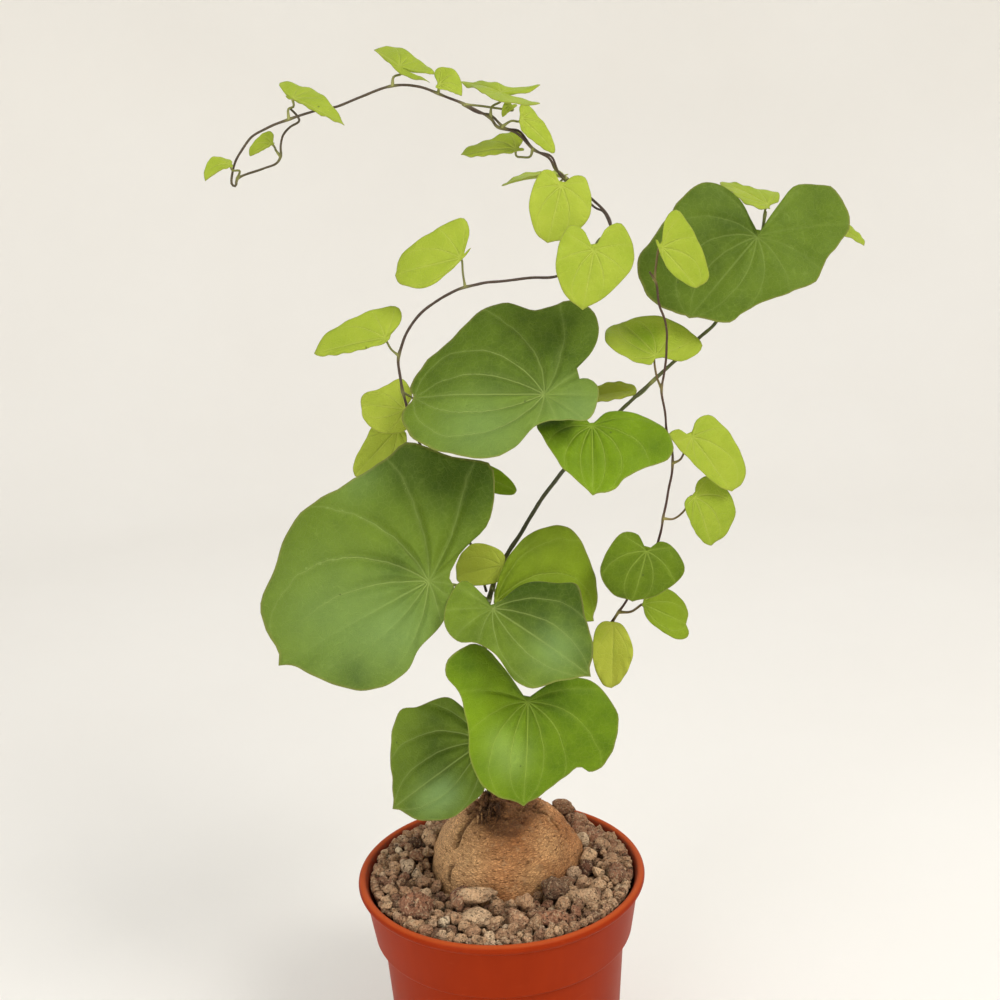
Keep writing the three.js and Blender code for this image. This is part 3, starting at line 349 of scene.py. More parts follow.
def skin(rings):
    """The closed surface over rings of points, whose first and last ring draw together to a pole."""
    rows, sides = rings.shape[:2]
    points = np.vstack([rings.reshape(-1, 3), rings[0].mean(axis=0), rings[-1].mean(axis=0)])
    here = np.arange(rows * sides).reshape(rows, sides)
    beside = np.roll(here, -1, axis=1)
    walls = np.stack([here[:-1], beside[:-1], beside[1:], here[1:]], axis=-1).reshape(-1, 4)
    foot = np.column_stack([np.full(sides, rows * sides), beside[0], here[0]])
    head = np.column_stack([np.full(sides, rows * sides + 1), here[-1], beside[-1]])
    return points, [walls, foot, head]


def tube(centres, radii, sides):
    """A round rod: circles of the given radii square to the route, with rounded ends. The circles
    start from the coordinate direction that the route follows least."""
    centres = np.asarray(centres, float)
    ahead = unit(np.gradient(centres, axis=0))
    steady = np.eye(3)[np.argmin(np.abs(ahead).max(axis=0))]
    side = unit(np.cross(steady, ahead))
    upward = np.cross(ahead, side)
    bend = np.radians([90, 55, 25])
    roundness, least_cap = 0.8, 0.05
    foot = centres[0] - ahead[0] * radii[0] * np.sin(bend)[:, None] * roundness
    head = centres[-1] + ahead[-1] * radii[-1] * np.sin(bend[::-1])[:, None] * roundness
    caps = np.maximum(np.cos(bend), least_cap)
    spine = np.vstack([foot, centres, head])
    wide = np.concatenate([radii[0] * caps, radii, radii[-1] * caps[::-1]])
    side = np.vstack([side[:1]] * 3 + [side] + [side[-1:]] * 3)
    upward = np.vstack([upward[:1]] * 3 + [upward] + [upward[-1:]] * 3)
    turn = np.linspace(0, 2 * np.pi, sides, endpoint=False)
    circle = np.cos(turn)[None, :, None] * side[:, None] + np.sin(turn)[None, :, None] * upward[:, None]
    return skin(spine[:, None] + wide[:, None, None] * circle)


def add_object(name, points, faces):
    """A mesh object in the scene, from points in millimetres and groups of faces."""
    mesh = bpy.data.meshes.new(name)
    mesh.from_pydata((points * MM).tolist(), [], [row for group in faces for row in group.tolist()])
    made = bpy.data.objects.new(name, mesh)
    bpy.context.scene.collection.objects.link(made)
    return made


def add_piece(name, surface, material, attributes=None, node=None, flat_group=None):
    """Makes a mesh object from points in millimetres and groups of faces, gives it attributes and
    its material, and lets it ride on the plant, in place of a CAD node where one is named. One
    group of faces may be shaded flat."""
    points, faces = surface
    piece = add_object(name, points, faces)
    mesh = piece.data
    for label, values in (attributes or {}).items():
        layer = mesh.attributes.new(label, "FLOAT_VECTOR", "POINT")
        layer.data.foreach_set("vector", np.ascontiguousarray(values, float).ravel())
    smooth = np.concatenate([np.full(len(group), index != flat_group) for index, group in enumerate(faces)])
    mesh.polygons.foreach_set("use_smooth", smooth.tolist())
    mesh.update()
    mesh.materials.append(material)
    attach(piece, "root")
    if node:
        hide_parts(node)
    return piece


# Small helpers for shader nodes


def tint(code):
    """A linear colour from a hexadecimal sRGB code."""
    parts = np.array([int(code[place:place + 2], 16) for place in (0, 2, 4)]) / 255
    linear = np.where(parts <= 0.04045, parts / 12.92, ((parts + 0.055) / 1.055) ** 2.4)
    return (*linear.tolist(), 1.0)


def put(tree, kind, inputs=None, **settings):
    """Adds a shader node of a kind, sets its properties, and sets its inputs or links them."""
    made = tree.nodes.new("ShaderNode" + kind)
    for name, value in settings.items():
        setattr(made, name, value)
    for name, value in (inputs or {}).items():
        if isinstance(value, bpy.types.NodeSocket):
            tree.links.new(value, made.inputs[name])
        else:
            made.inputs[name].default_value = value
    return made


def sums(tree, operation, first, second=0.0, third=0.0):
    """The result of one arithmetic node."""
    return put(tree, "Math", {0: first, 1: second, 2: third}, operation=operation).outputs[0]


def times(tree, first, second):
    """The product of two values."""
    return sums(tree, "MULTIPLY", first, second)


def plus(tree, first, second):
    """The sum of two values."""
    return sums(tree, "ADD", first, second)


def scaled(tree, value, factor, offset):
    """A value times a factor, plus an offset."""
    return sums(tree, "MULTIPLY_ADD", value, factor, offset)


def span(tree, value, low, high, start=0.0, end=1.0):
    """Value brought smoothly from low..high to start..end."""
    inputs = {"Value": value, "From Min": low, "From Max": high, "To Min": start, "To Max": end}
    return put(tree, "MapRange", inputs, interpolation_type="SMOOTHSTEP").outputs[0]


def mixed(tree, share, first, second):
    """Two colours mixed by a share."""
    return put(tree, "Mix", {0: share, 6: first, 7: second}, data_type="RGBA").outputs[2]


def laid(tree, colour, mask, strength, code):
    """A colour with another, given by its code, laid over it where a mask says so."""
    return mixed(tree, times(tree, mask, strength), colour, tint(code))


def noise(tree, place, scale, detail=3.0, roughness=0.55, spread=0.0):
    """Cloudy noise with its own size."""
    inputs = {"Vector": place, "Scale": scale, "Detail": detail, "Roughness": roughness, "Distortion": spread}
    return put(tree, "TexNoise", inputs).outputs["Fac"]


def cells(tree, place, scale, feature="F1"):
    """Distance to the nearest of scattered points, or to the border between two."""
    inputs = {"Vector": place, "Scale": scale}
    return put(tree, "TexVoronoi", inputs, feature=feature).outputs["Distance"]


def shifted(tree, place, scale, detail, reach):
    """Coordinates moved to and fro by coloured noise, which breaks up straight borders."""
    drift = put(tree, "TexNoise", {"Vector": place, "Scale": scale, "Detail": detail})
    drift = put(tree, "VectorMath", {0: drift.outputs["Color"], "Scale": reach}, operation="SCALE")
    return put(tree, "VectorMath", {0: place, 1: drift.outputs[0]}, operation="ADD").outputs[0]


def spread_out(tree, place, stretch):
    """Coordinates stretched along each axis."""
    return put(tree, "Mapping", {"Vector": place, "Scale": stretch}).outputs[0]


def own_place(tree):
    """The piece's own coordinates, in metres."""
    return put(tree, "TexCoord").outputs["Object"]


def given(tree, label):
    """The three values of a vertex attribute."""
    vector = put(tree, "Attribute", attribute_name=label).outputs["Vector"]
    parts = put(tree, "SeparateXYZ", {0: vector})
    return vector, parts.outputs[0], parts.outputs[1], parts.outputs[2]


def start_group(name, inputs, outputs):
    """A node group with named number inputs and named outputs, and its two end nodes."""
    group = bpy.data.node_groups.new(name, "ShaderNodeTree")
    for label, value in inputs.items():
        socket = group.interface.new_socket(label, in_out="INPUT", socket_type="NodeSocketFloat")
        socket.default_value = value
    for label in outputs:
        group.interface.new_socket(label, in_out="OUTPUT", socket_type="NodeSocketFloat")
    return group, group.nodes.new("NodeGroupInput").outputs, group.nodes.new("NodeGroupOutput")


def use_group(tree, group, **values):
    """A group placed in a material with its own values."""
    made = put(tree, "Group", node_tree=group)
    for label, value in values.items():
        made.inputs[label.replace("_", " ").capitalize()].default_value = value
    return made.outputs


def start_material(name, **shader_values):
    """A material with its Principled shader and constants on the shader's own sockets."""
    material = bpy.data.materials.new(name)
    material.use_nodes = True
    tree = material.node_tree
    shader = tree.nodes["Principled BSDF"]
    for label, value in shader_values.items():
        shader.inputs[label.replace("_", " ")].default_value = value
    return material, tree, shader


def bump(tree, shader, height, reach, strength=1.0):
    """A height, in the unit of the reach in metres, turned into the shader's normal."""
    made = put(tree, "Bump", {"Height": height, "Distance": reach, "Strength": strength})
    tree.links.new(made.outputs[0], shader.inputs["Normal"])


# Shared effects


def fine_grain_group():
    """Mottling and fine grain for any matt surface: clouds of the given size, and specks on them."""
    names = {"Cloud size": 0.01, "Grain size": 0.001}
    group, given_values, out = start_group("Mottling", names, ["Cloud", "Grain"])
    place = own_place(group)
    cloud_pace = sums(group, "DIVIDE", 1.0, given_values["Cloud size"])
    grain_pace = sums(group, "DIVIDE", 1.0, given_values["Grain size"])
    group.links.new(noise(group, place, cloud_pace, 4.0), out.inputs["Cloud"])
    group.links.new(noise(group, place, grain_pace, 2.0), out.inputs["Grain"])
    return group


def leaf_vein_group():
    """Masks over a blade. A main vein runs wherever the vein count is whole, and its distance in
    millimetres is the count's fraction times the spacing. It fades in the back lobes, toward the
    margin and under the painted sheen. The net is the border between cells."""
    names = {"Vein width": 0.3, "Net size": 1.9}
    outputs = ["Vein", "Halo", "Net", "Margin", "Cloud", "Speck", "Height"]
    group, given_values, out = start_group("Leaf veins", names, outputs)
    place, _, _, rim = given(group, "leaf_place")
    _, count, spacing, length = given(group, "leaf_vein")
    _, _, _, seed = given(group, "leaf_looks")
    _, vein_strength, _, _ = given(group, "leaf_contrast")
    offset = put(group, "CombineXYZ", {0: seed, 1: seed, 2: 0.0}).outputs[0]
    flat = put(group, "VectorMath", {0: place, "Scale": length}, operation="SCALE").outputs[0]
    flat = put(group, "VectorMath", {0: flat, 1: (1, 1, 0)}, operation="MULTIPLY").outputs[0]
    flat = put(group, "VectorMath", {0: flat, 1: offset}, operation="ADD").outputs[0]
    sway = scaled(group, noise(group, flat, 0.09, 2.0), 0.24, -0.12)
    swayed = plus(group, count, times(group, sway, sums(group, "MINIMUM", count, 1.0)))
    part = sums(group, "SUBTRACT", sums(group, "FRACT", plus(group, swayed, 0.5)), 0.5)
    part = sums(group, "ABSOLUTE", part)
    away = times(group, part, spacing)
    width = times(group, given_values["Vein width"], scaled(group, rim, -0.65, 1.15))
    midrib = span(group, count, 0.0, 0.5, 1.5, 1.0)
    width = times(group, width, midrib)
    vein = span(group, sums(group, "DIVIDE", away, width), 0.35, 1.25, 1.0, 0.0)
    _, painted_sheen, _, _ = given(group, "leaf_light")
    vein = times(group, vein, span(group, count, 2.3, 3.8, 1.0, 0.3))
    # Veins fade where the painted sheen lies.
    vein = times(group, vein, span(group, painted_sheen, 0.1, 0.6, 1.0, 0.45))
    vein = times(group, vein, span(group, rim, 0.45, 0.95, 1.0, 0.4))
    vein = times(group, vein, vein_strength)
    halo = span(group, sums(group, "DIVIDE", away, width), 0.5, 6.0, 1.0, 0.0)
    halo = times(group, halo, vein_strength)
    net_pace = sums(group, "DIVIDE", 1.0, given_values["Net size"])
    loose = shifted(group, flat, 0.25, 2.0, 2.2)
    net = span(group, cells(group, loose, net_pace, "DISTANCE_TO_EDGE"), 0.02, 0.09, 1.0, 0.0)
    fine_pace = times(group, net_pace, 3.2)
    fine = span(group, cells(group, loose, fine_pace, "DISTANCE_TO_EDGE"), 0.02, 0.14, 1.0, 0.0)
    web = sums(group, "MAXIMUM", net, times(group, fine, 0.45))
    margin = span(group, rim, 0.975, 1.0)
    cloud = noise(group, flat, 0.11, 3.0)
    speck = span(group, cells(group, flat, 0.19), 0.05, 0.09, 1.0, 0.0)
    chosen = span(group, noise(group, flat, 0.06, 1.0), 0.6, 0.66)
    speck = times(group, speck, chosen)
    dents = scaled(group, vein, -1.0, times(group, web, -0.32))
    height = scaled(group, noise(group, flat, 1.6, 3.0), 0.35, dents)
    for label, value in zip(outputs, (vein, halo, web, margin, cloud, speck, height)):
        group.links.new(value, out.inputs[label])
    return group


mottling = fine_grain_group()
leaf_veins = leaf_vein_group()


# Materials


def make_leaf_material(name, dark, light, vein_colour, painted_sheen_colour, back_colour, vein_share):
    """A waxy blade: two greens in clouds, shifted by painted light and shade, paler veins with a soft
    halo, a faint net, a painted bluish sheen in soft spots, a thin brown margin, specks, and a paler, duller
    back."""
    material, tree, shader = start_material(name, IOR=1.42, Specular_IOR_Level=0.15)
    marks = use_group(tree, leaf_veins)
    _, tone, yellow, _ = given(tree, "leaf_looks")
    _, painted_sheen, painted_light, back = given(tree, "leaf_light")
    _, _, cloud_strength, _ = given(tree, "leaf_contrast")
    clouds = times(tree, sums(tree, "SUBTRACT", marks["Cloud"], 0.5), 0.9)
    share = scaled(tree, clouds, cloud_strength, 0.5)
    share = plus(tree, share, times(tree, tone, 0.5))
    # Painted light and shade: lit and shaded halves and patches raise or lower the share of the lighter
    # green.
    share = plus(tree, share, painted_light)
    share = put(tree, "Clamp", {0: share}).outputs[0]
    colour = mixed(tree, share, tint(dark), tint(light))
    colour = mixed(tree, yellow, colour, tint("c3bd46"))
    # Painted sheen: a pale bluish highlight laid over the blade in soft spots.
    colour = laid(tree, colour, painted_sheen, 0.85, painted_sheen_colour)
    colour = laid(tree, colour, marks["Net"], 0.06, vein_colour)
    colour = laid(tree, colour, marks["Halo"], 0.22 * vein_share, vein_colour)
    colour = laid(tree, colour, marks["Vein"], vein_share, vein_colour)
    colour = laid(tree, colour, marks["Speck"], 0.6, "3d4a22")
    colour = laid(tree, colour, back, 0.6, back_colour)
    colour = laid(tree, colour, marks["Margin"], 0.45, "8f8a4a")
    tree.links.new(colour, shader.inputs["Base Color"])
    gloss = scaled(tree, marks["Cloud"], 0.14, 0.43)
    gloss = plus(tree, gloss, times(tree, back, 0.2))
    tree.links.new(gloss, shader.inputs["Roughness"])
    bump(tree, shader, marks["Height"], 0.0003, 0.9)
    return material


def make_pot_material():
    """Satin moulded plastic: orange-brown with faint clouds, the finest orange peel, soft vertical
    flow streaks, light scuffs on its outside, a painted highlight along the top of the lip, and a dusty film
    inside above the grains."""
    material, tree, shader = start_material("pot_plastic", IOR=1.4, Specular_IOR_Level=0.06)
    place = own_place(tree)
    marks = use_group(tree, mottling, cloud_size=0.03, grain_size=0.0006)
    parts = put(tree, "SeparateXYZ", {0: place})
    height = parts.outputs[2]
    streaks = noise(tree, spread_out(tree, place, (1.0, 1.0, 0.06)), 260.0, 2.0)
    share = scaled(tree, streaks, 0.35, times(tree, marks["Cloud"], 0.65))
    colour = mixed(tree, share, tint("7f2206"), tint("9c310b"))
    scuffs = span(tree, noise(tree, spread_out(tree, place, (1, 1, 5)), 120.0, 5.0, 0.7), 0.62, 0.72)
    colour = laid(tree, colour, scuffs, 0.08, "cf7a50")
    squares = [sums(tree, "POWER", parts.outputs[axis], 2.0) for axis in (0, 1)]
    outward = sums(tree, "SQRT", plus(tree, *squares))
    # Painted highlight: the top of the lip is made a lighter orange.
    painted_lip_highlight = span(tree, height, 0.0938, 0.0949)
    colour = laid(tree, colour, painted_lip_highlight, 0.5, "c8602f")
    collar_slope = 0.159
    within_wall = span(tree, scaled(tree, height, -collar_slope, outward), 0.0351, 0.0346)
    inside = times(tree, within_wall, span(tree, height, 0.079, 0.081))
    dust = span(tree, noise(tree, place, 500.0, 4.0), 0.42, 0.62)
    film = times(tree, inside, scaled(tree, dust, 0.35, 0.3))
    colour = mixed(tree, film, colour, tint("6a4634"))
    tree.links.new(colour, shader.inputs["Base Color"])
    gloss = scaled(tree, marks["Cloud"], 0.12, 0.36)
    gloss = scaled(tree, scuffs, 0.12, gloss)
    gloss = scaled(tree, inside, 0.25, gloss)
    tree.links.new(gloss, shader.inputs["Roughness"])
    peel = scaled(tree, streaks, 0.5, marks["Grain"])
    bump(tree, shader, peel, 0.00005, 0.5)
    return material


def make_pumice_material():
    """Porous stone: each grain has its own colour between pale beige, brown, red-brown and dark brown,
    with blotches, dusty high spots, dark pores of two sizes and a rough surface, and painted shade that
    turns the low parts of each grain and the deep bed near black."""
    material, tree, shader = start_material("pumice", Roughness=0.95, IOR=1.4, Specular_IOR_Level=0.25)
    place = own_place(tree)
    marks = use_group(tree, mottling, cloud_size=0.0045, grain_size=0.0005)
    _, tone, red, lift = given(tree, "grain_tone_and_shade")
    ramp = put(tree, "ValToRGB", {0: tone})
    stops = ((0.0, "4d382c"), (0.25, "906c51"), (0.5, "c49a74"), (0.75, "e2ba90"), (1.0, "ecd3b0"))
    ramp.color_ramp.elements[0].color = tint(stops[0][1])
    ramp.color_ramp.elements[1].color = tint(stops[-1][1])
    for share, code in stops[1:-1]:
        ramp.color_ramp.elements.new(share).color = tint(code)
    colour = mixed(tree, red, ramp.outputs[0], tint("9a6047"))
    blotch = span(tree, marks["Cloud"], 0.35, 0.65)
    colour = laid(tree, colour, blotch, 0.4, "80614e")
    fleck = span(tree, noise(tree, place, 900.0, 4.0, 0.65), 0.5, 0.66)
    colour = laid(tree, colour, fleck, 0.5, "dcc39c")
    loose = shifted(tree, place, 700.0, 3.0, 0.0012)
    pores = span(tree, noise(tree, loose, 750.0, 2.0, 0.5, 0.6), 0.6, 0.7)
    pits = span(tree, cells(tree, loose, 1500.0), 0.12, 0.4, 1.0, 0.0)
    holes = sums(tree, "MAXIMUM", pores, times(tree, pits, 0.4))
    colour = laid(tree, colour, holes, 0.7, "3a2a1e")
    # Painted shade: points low on their grain and deep in the bed are darkened toward near black.
    colour = laid(tree, colour, lift, 0.75, "241c17")
    tree.links.new(colour, shader.inputs["Base Color"])
    rough = scaled(tree, holes, -1.8, times(tree, marks["Grain"], 0.7))
    rough = scaled(tree, marks["Cloud"], 0.8, rough)
    rough = scaled(tree, noise(tree, loose, 600.0, 3.0, 0.6), 2.2, rough)
    bump(tree, shader, rough, 0.0009, 1.0)
    return material


def make_bark_material():
    """Dry tuber bark: tan with brown clouds, painted light that pales its left side, a fine net of short
    level dashes, darker toward the crown and in the fissures, with painted shade on the front below
    the crown, pale worn patches, fissure lips and scattered dark specks."""
    material, tree, shader = start_material("tuber_bark", Roughness=0.85, IOR=1.4, Specular_IOR_Level=0.3)
    place = own_place(tree)
    marks = use_group(tree, mottling, cloud_size=0.011, grain_size=0.0007)
    _, crown, crack, worn = given(tree, "bark_marks")
    colour = mixed(tree, span(tree, marks["Cloud"], 0.3, 0.7), tint("a86c3e"), tint("dea169"))
    colour = laid(tree, colour, worn, 0.6, "deb27a")
    # Painted light: the bark turns paler toward its left side (negative x).
    outward = put(tree, "SeparateXYZ", {0: place}).outputs[0]
    colour = mixed(tree, span(tree, outward, 0.004, -0.022, 0.0, 0.8), colour, tint("f6c78e"))
    loose = shifted(tree, place, 500.0, 2.0, 0.0014)
    level = spread_out(tree, loose, (1, 1, 3.2))
    net = span(tree, cells(tree, level, 620.0, "DISTANCE_TO_EDGE"), 0.03, 0.2, 1.0, 0.0)
    dashes = span(tree, noise(tree, spread_out(tree, loose, (0.8, 0.8, 4.0)), 620.0, 2.0), 0.6, 0.67)
    grain = span(tree, noise(tree, spread_out(tree, loose, (1, 1, 4.5)), 300.0, 6.0, 0.7), 0.4, 0.66)
    colour = laid(tree, colour, grain, 0.5, "7c5331")
    colour = laid(tree, colour, net, 0.45, "70432a")
    colour = laid(tree, colour, dashes, 0.7, "5a381f")
    specks = span(tree, cells(tree, place, 240.0), 0.05, 0.11, 1.0, 0.0)
    colour = laid(tree, colour, specks, 0.5, "4a2f1c")
    flakes = span(tree, noise(tree, place, 420.0, 4.0), 0.56, 0.66)
    colour = laid(tree, colour, flakes, 0.22, "d9b184")
    # The crown mark also carries painted shade on the front just below the crown.
    browned = plus(tree, crown, scaled(tree, marks["Cloud"], 0.5, -0.25))
    browned = span(tree, browned, 0.25, 0.9)
    colour = laid(tree, colour, browned, 0.7, "583620")
    colour = laid(tree, colour, crack, 0.9, "2f1d12")
    tree.links.new(colour, shader.inputs["Base Color"])
    height = scaled(tree, net, -0.5, times(tree, marks["Grain"], 0.8))
    height = scaled(tree, dashes, -0.4, height)
    height = scaled(tree, flakes, 0.6, height)
    bump(tree, shader, height, 0.0005, 1.0)
    return material


def make_stem_material(name, bark, fresh, joint):
    """A thin stem: bark that turns fresh and green toward its leaf stalks and tip, with lengthwise
    streaks, pale joints where a stalk starts, and small corky dots."""
    material, tree, shader = start_material(name, IOR=1.42)
    place = own_place(tree)
    marks = use_group(tree, mottling, cloud_size=0.006, grain_size=0.0005)
    _, freshness, swelling, _ = given(tree, "stem_looks")
    varied = plus(tree, freshness, scaled(tree, marks["Cloud"], 0.3, -0.15))
    colour = mixed(tree, span(tree, varied, 0.1, 0.9), tint(bark), tint(fresh))
    colour = laid(tree, colour, swelling, 0.75, joint)
    streaks = noise(tree, spread_out(tree, place, (1, 1, 0.15)), 2600.0, 2.0)
    colour = laid(tree, colour, streaks, 0.25, "2b241b")
    dots = span(tree, cells(tree, place, 700.0), 0.08, 0.2, 1.0, 0.0)
    colour = laid(tree, colour, dots, 0.35, "8d7c5c")
    tree.links.new(colour, shader.inputs["Base Color"])
    gloss = scaled(tree, marks["Cloud"], 0.2, 0.42)
    tree.links.new(gloss, shader.inputs["Roughness"])
    height = scaled(tree, dots, 0.5, streaks)
    bump(tree, shader, height, 0.00012, 0.6)
    return material


def make_floor_material():
    """Pale matt studio paper with the faintest clouds and tooth."""
    material, tree, shader = start_material("studio_paper", Roughness=0.9, IOR=1.4)
    marks = use_group(tree, mottling, cloud_size=0.25, grain_size=0.002)
    colour = mixed(tree, marks["Cloud"], tint("f0ece5"), tint("f5f2ec"))
    tree.links.new(colour, shader.inputs["Base Color"])
    bump(tree, shader, marks["Grain"], 0.0002, 0.3)
    return material


POT_PLASTIC = make_pot_material()
PUMICE = make_pumice_material()
TUBER_BARK = make_bark_material()
STEMS = {
    "olive_stem": make_stem_material("olive_stem", "37351c", "6f7c30", "a4a558"),
    "red_vine": make_stem_material("red_vine", "40241c", "6e5a30", "a39a50"),
    "grey_vine": make_stem_material("grey_vine", "47362b", "747638", "a5a75a"),
}
BLADES = {
    "old": make_leaf_material("old_leaf", "384d08", "7c942c", "a9ba68", "88a768", "869a50", 0.45),
    "mid": make_leaf_material("mid_leaf", "3f5a04", "7d9b14", "b0c458", "9db865", "8ea444", 0.36),
    "young": make_leaf_material("young_leaf", "78911a", "adb840", "c8cc6a", "b8cc74", "a3b048", 0.26),
}


# Pot


def rounded(places, reach):
    """An outline of [radius, height] places with each corner rounded: two points at most `reach`
    from the corner are joined by the curve that has the corner as its handle."""
    places = np.asarray(places, float)
    points = [places[0]]
    for before, corner, after in zip(places[:-2], places[1:-1], places[2:]):
        to_before, to_after = before - corner, after - corner
        cut = min(reach, 0.45 * np.linalg.norm(to_before), 0.45 * np.linalg.norm(to_after))
        start, end = corner + unit(to_before) * cut, corner + unit(to_after) * cut
        t = np.linspace(0, 1, 4)[:, None]
        points.extend((1 - t) ** 2 * start + 2 * t * (1 - t) * corner + t**2 * end)
    points.append(places[-1])
    return np.array(points)


def pot_inside(clearance=0.0):
    """The inner wall from the middle of the floor up to the lip."""
    inset = POT_WALL + clearance
    return [
        [0, POT_FLOOR + clearance],
        [BASE_RADIUS - inset, POT_FLOOR + clearance],
        [BODY_RADIUS - inset, COLLAR_FOOT],
        [COLLAR_RADIUS - inset, COLLAR_FOOT + 1.8],
        [RIM_RADIUS - LIP_WIDTH - clearance, POT_HEIGHT - 3.5],
    ]


def turned(outline, segments):
    """The closed surface that an outline of [radius, height] points makes when it turns about the
    upright axis. Its first and last point lie on the axis."""
    outline = np.asarray(outline, float)
    turn = np.linspace(0, 2 * np.pi, segments, endpoint=False)
    radius, height = outline[1:-1, 0][:, None], outline[1:-1, 1][:, None]
    rings = np.stack([radius * np.cos(turn), radius * np.sin(turn), height + 0 * turn], axis=-1)
    points, faces = skin(rings)
    points[-2] = [0, 0, outline[0, 1]]
    points[-1] = [0, 0, outline[-1, 1]]
    return points, faces


def make_pot():
    """Outside and inside outline turned as one closed wall, and drain holes cut out of its floor."""
    outside = [
        [0, 0],
        [BASE_RADIUS - 1, 0],
        [BASE_RADIUS, 1],
        [BODY_RADIUS, COLLAR_FOOT - 0.8],
        [COLLAR_RADIUS - 0.6, COLLAR_FOOT],
        [COLLAR_RADIUS, COLLAR_FOOT + 0.8],
        [RIM_RADIUS - 2.3, POT_HEIGHT - 4],
        [RIM_RADIUS - 0.7, POT_HEIGHT - 3.3],
        [RIM_RADIUS, POT_HEIGHT - 1.9],
        [RIM_RADIUS - 0.5, POT_HEIGHT - 0.5],
        [RIM_RADIUS - 1.6, POT_HEIGHT],
        [RIM_RADIUS - 2.8, POT_HEIGHT - 0.6],
        [RIM_RADIUS - 3.4, POT_HEIGHT - 1.8],
    ]
    outline = rounded(outside + pot_inside()[::-1], 0.8)
    pot = add_piece("pot_shell", turned(outline, 192), POT_PLASTIC, node="pot")
    cutters = []  # their points stand in for marks, which they don't need
    for index in range(DRAIN_HOLES):
        angle = 2 * np.pi * index / DRAIN_HOLES
        centre = DRAIN_RING * np.array([np.cos(angle), np.sin(angle)])
        points, faces = turned([[0, -2], [DRAIN_RADIUS, -2], [DRAIN_RADIUS, 5], [0, 5]], 32)
        points[:, :2] += centre
        cutters.append((points, faces, points))
    points, faces, _ = joined(cutters)
    cutter = add_object("drain_cutters", points, faces)
    cut = pot.modifiers.new("drain_holes", "BOOLEAN")
    cut.operation = "DIFFERENCE"
    cut.solver = "EXACT"
    cut.object = cutter
    shell = pot.evaluated_get(bpy.context.evaluated_depsgraph_get())
    finished = bpy.data.meshes.new_from_object(shell)
    pot.modifiers.clear()
    pot.data = finished
    pot.data.polygons.foreach_set("use_smooth", [True] * len(pot.data.polygons))
    pot.data.set_sharp_from_angle(angle=np.radians(50))
    bpy.data.objects.remove(cutter)


# Tuber


# Each fissure: its places as azimuth and height share, its width and its depth

FISSURES = [
    ([(-2.75, 0.93), (-2.68, 0.84), (-2.6, 0.74), (-2.52, 0.6)], 1.05, 2.9),
    ([(-2.42, 0.45), (-2.46, 0.33), (-2.42, 0.15)], 0.75, 1.6),
    ([(-0.35, 0.94), (-0.2, 0.85), (-0.35, 0.68)], 0.7, 2.0),
    ([(0.75, 0.85), (0.62, 0.6), (0.6, 0.2)], 0.6, 1.2),
    ([(2.2, 0.9), (2.35, 0.55), (2.25, 0.1)], 0.6, 1.3),
    ([(1.4, 0.7), (1.5, 0.45)], 0.4, 0.8),
]

# Each worn patch: its azimuth, its height share and its size

WORN_PATCHES = [(-2.15, 0.55, 0.22), (-0.75, 0.6, 0.3), (-1.2, 0.35, 0.25), (1.8, 0.5, 0.3)]

BARK_SINK = 0.35  # how far the bark's mean lies under the CAD's surface, so that nothing passes it


def caudex_surface(azimuth, tilt):
    """A flattened ball drawn up into a low crown. Radius: sine of the tilt to the power 0.9, with
    three and seven gentle lumps round it. Height: cosine of the tilt, less below than above."""
    across = np.sin(tilt) ** 0.9
    up = np.cos(tilt)
    lumps = 1 + 0.02 * np.sin(3 * azimuth + 0.7) + 0.012 * np.sin(7 * azimuth + 4 * up)
    radius = CAUDEX_RADIUS * across * lumps
    crown = 1.5 * np.exp(-((across / 0.22) ** 2))
    height = np.where(up > 0, CAUDEX_RISE * up + crown, CAUDEX_SINK * up)
    place = np.stack([radius * np.cos(azimuth), radius * np.sin(azimuth), height], axis=-1)
    return CAUDEX_CENTRE + place


def caudex_spot(azimuth, up):
    """The place on the tuber at an azimuth and a height share."""
    return caudex_surface(np.asarray(azimuth, float), np.arccos(np.asarray(up, float)))


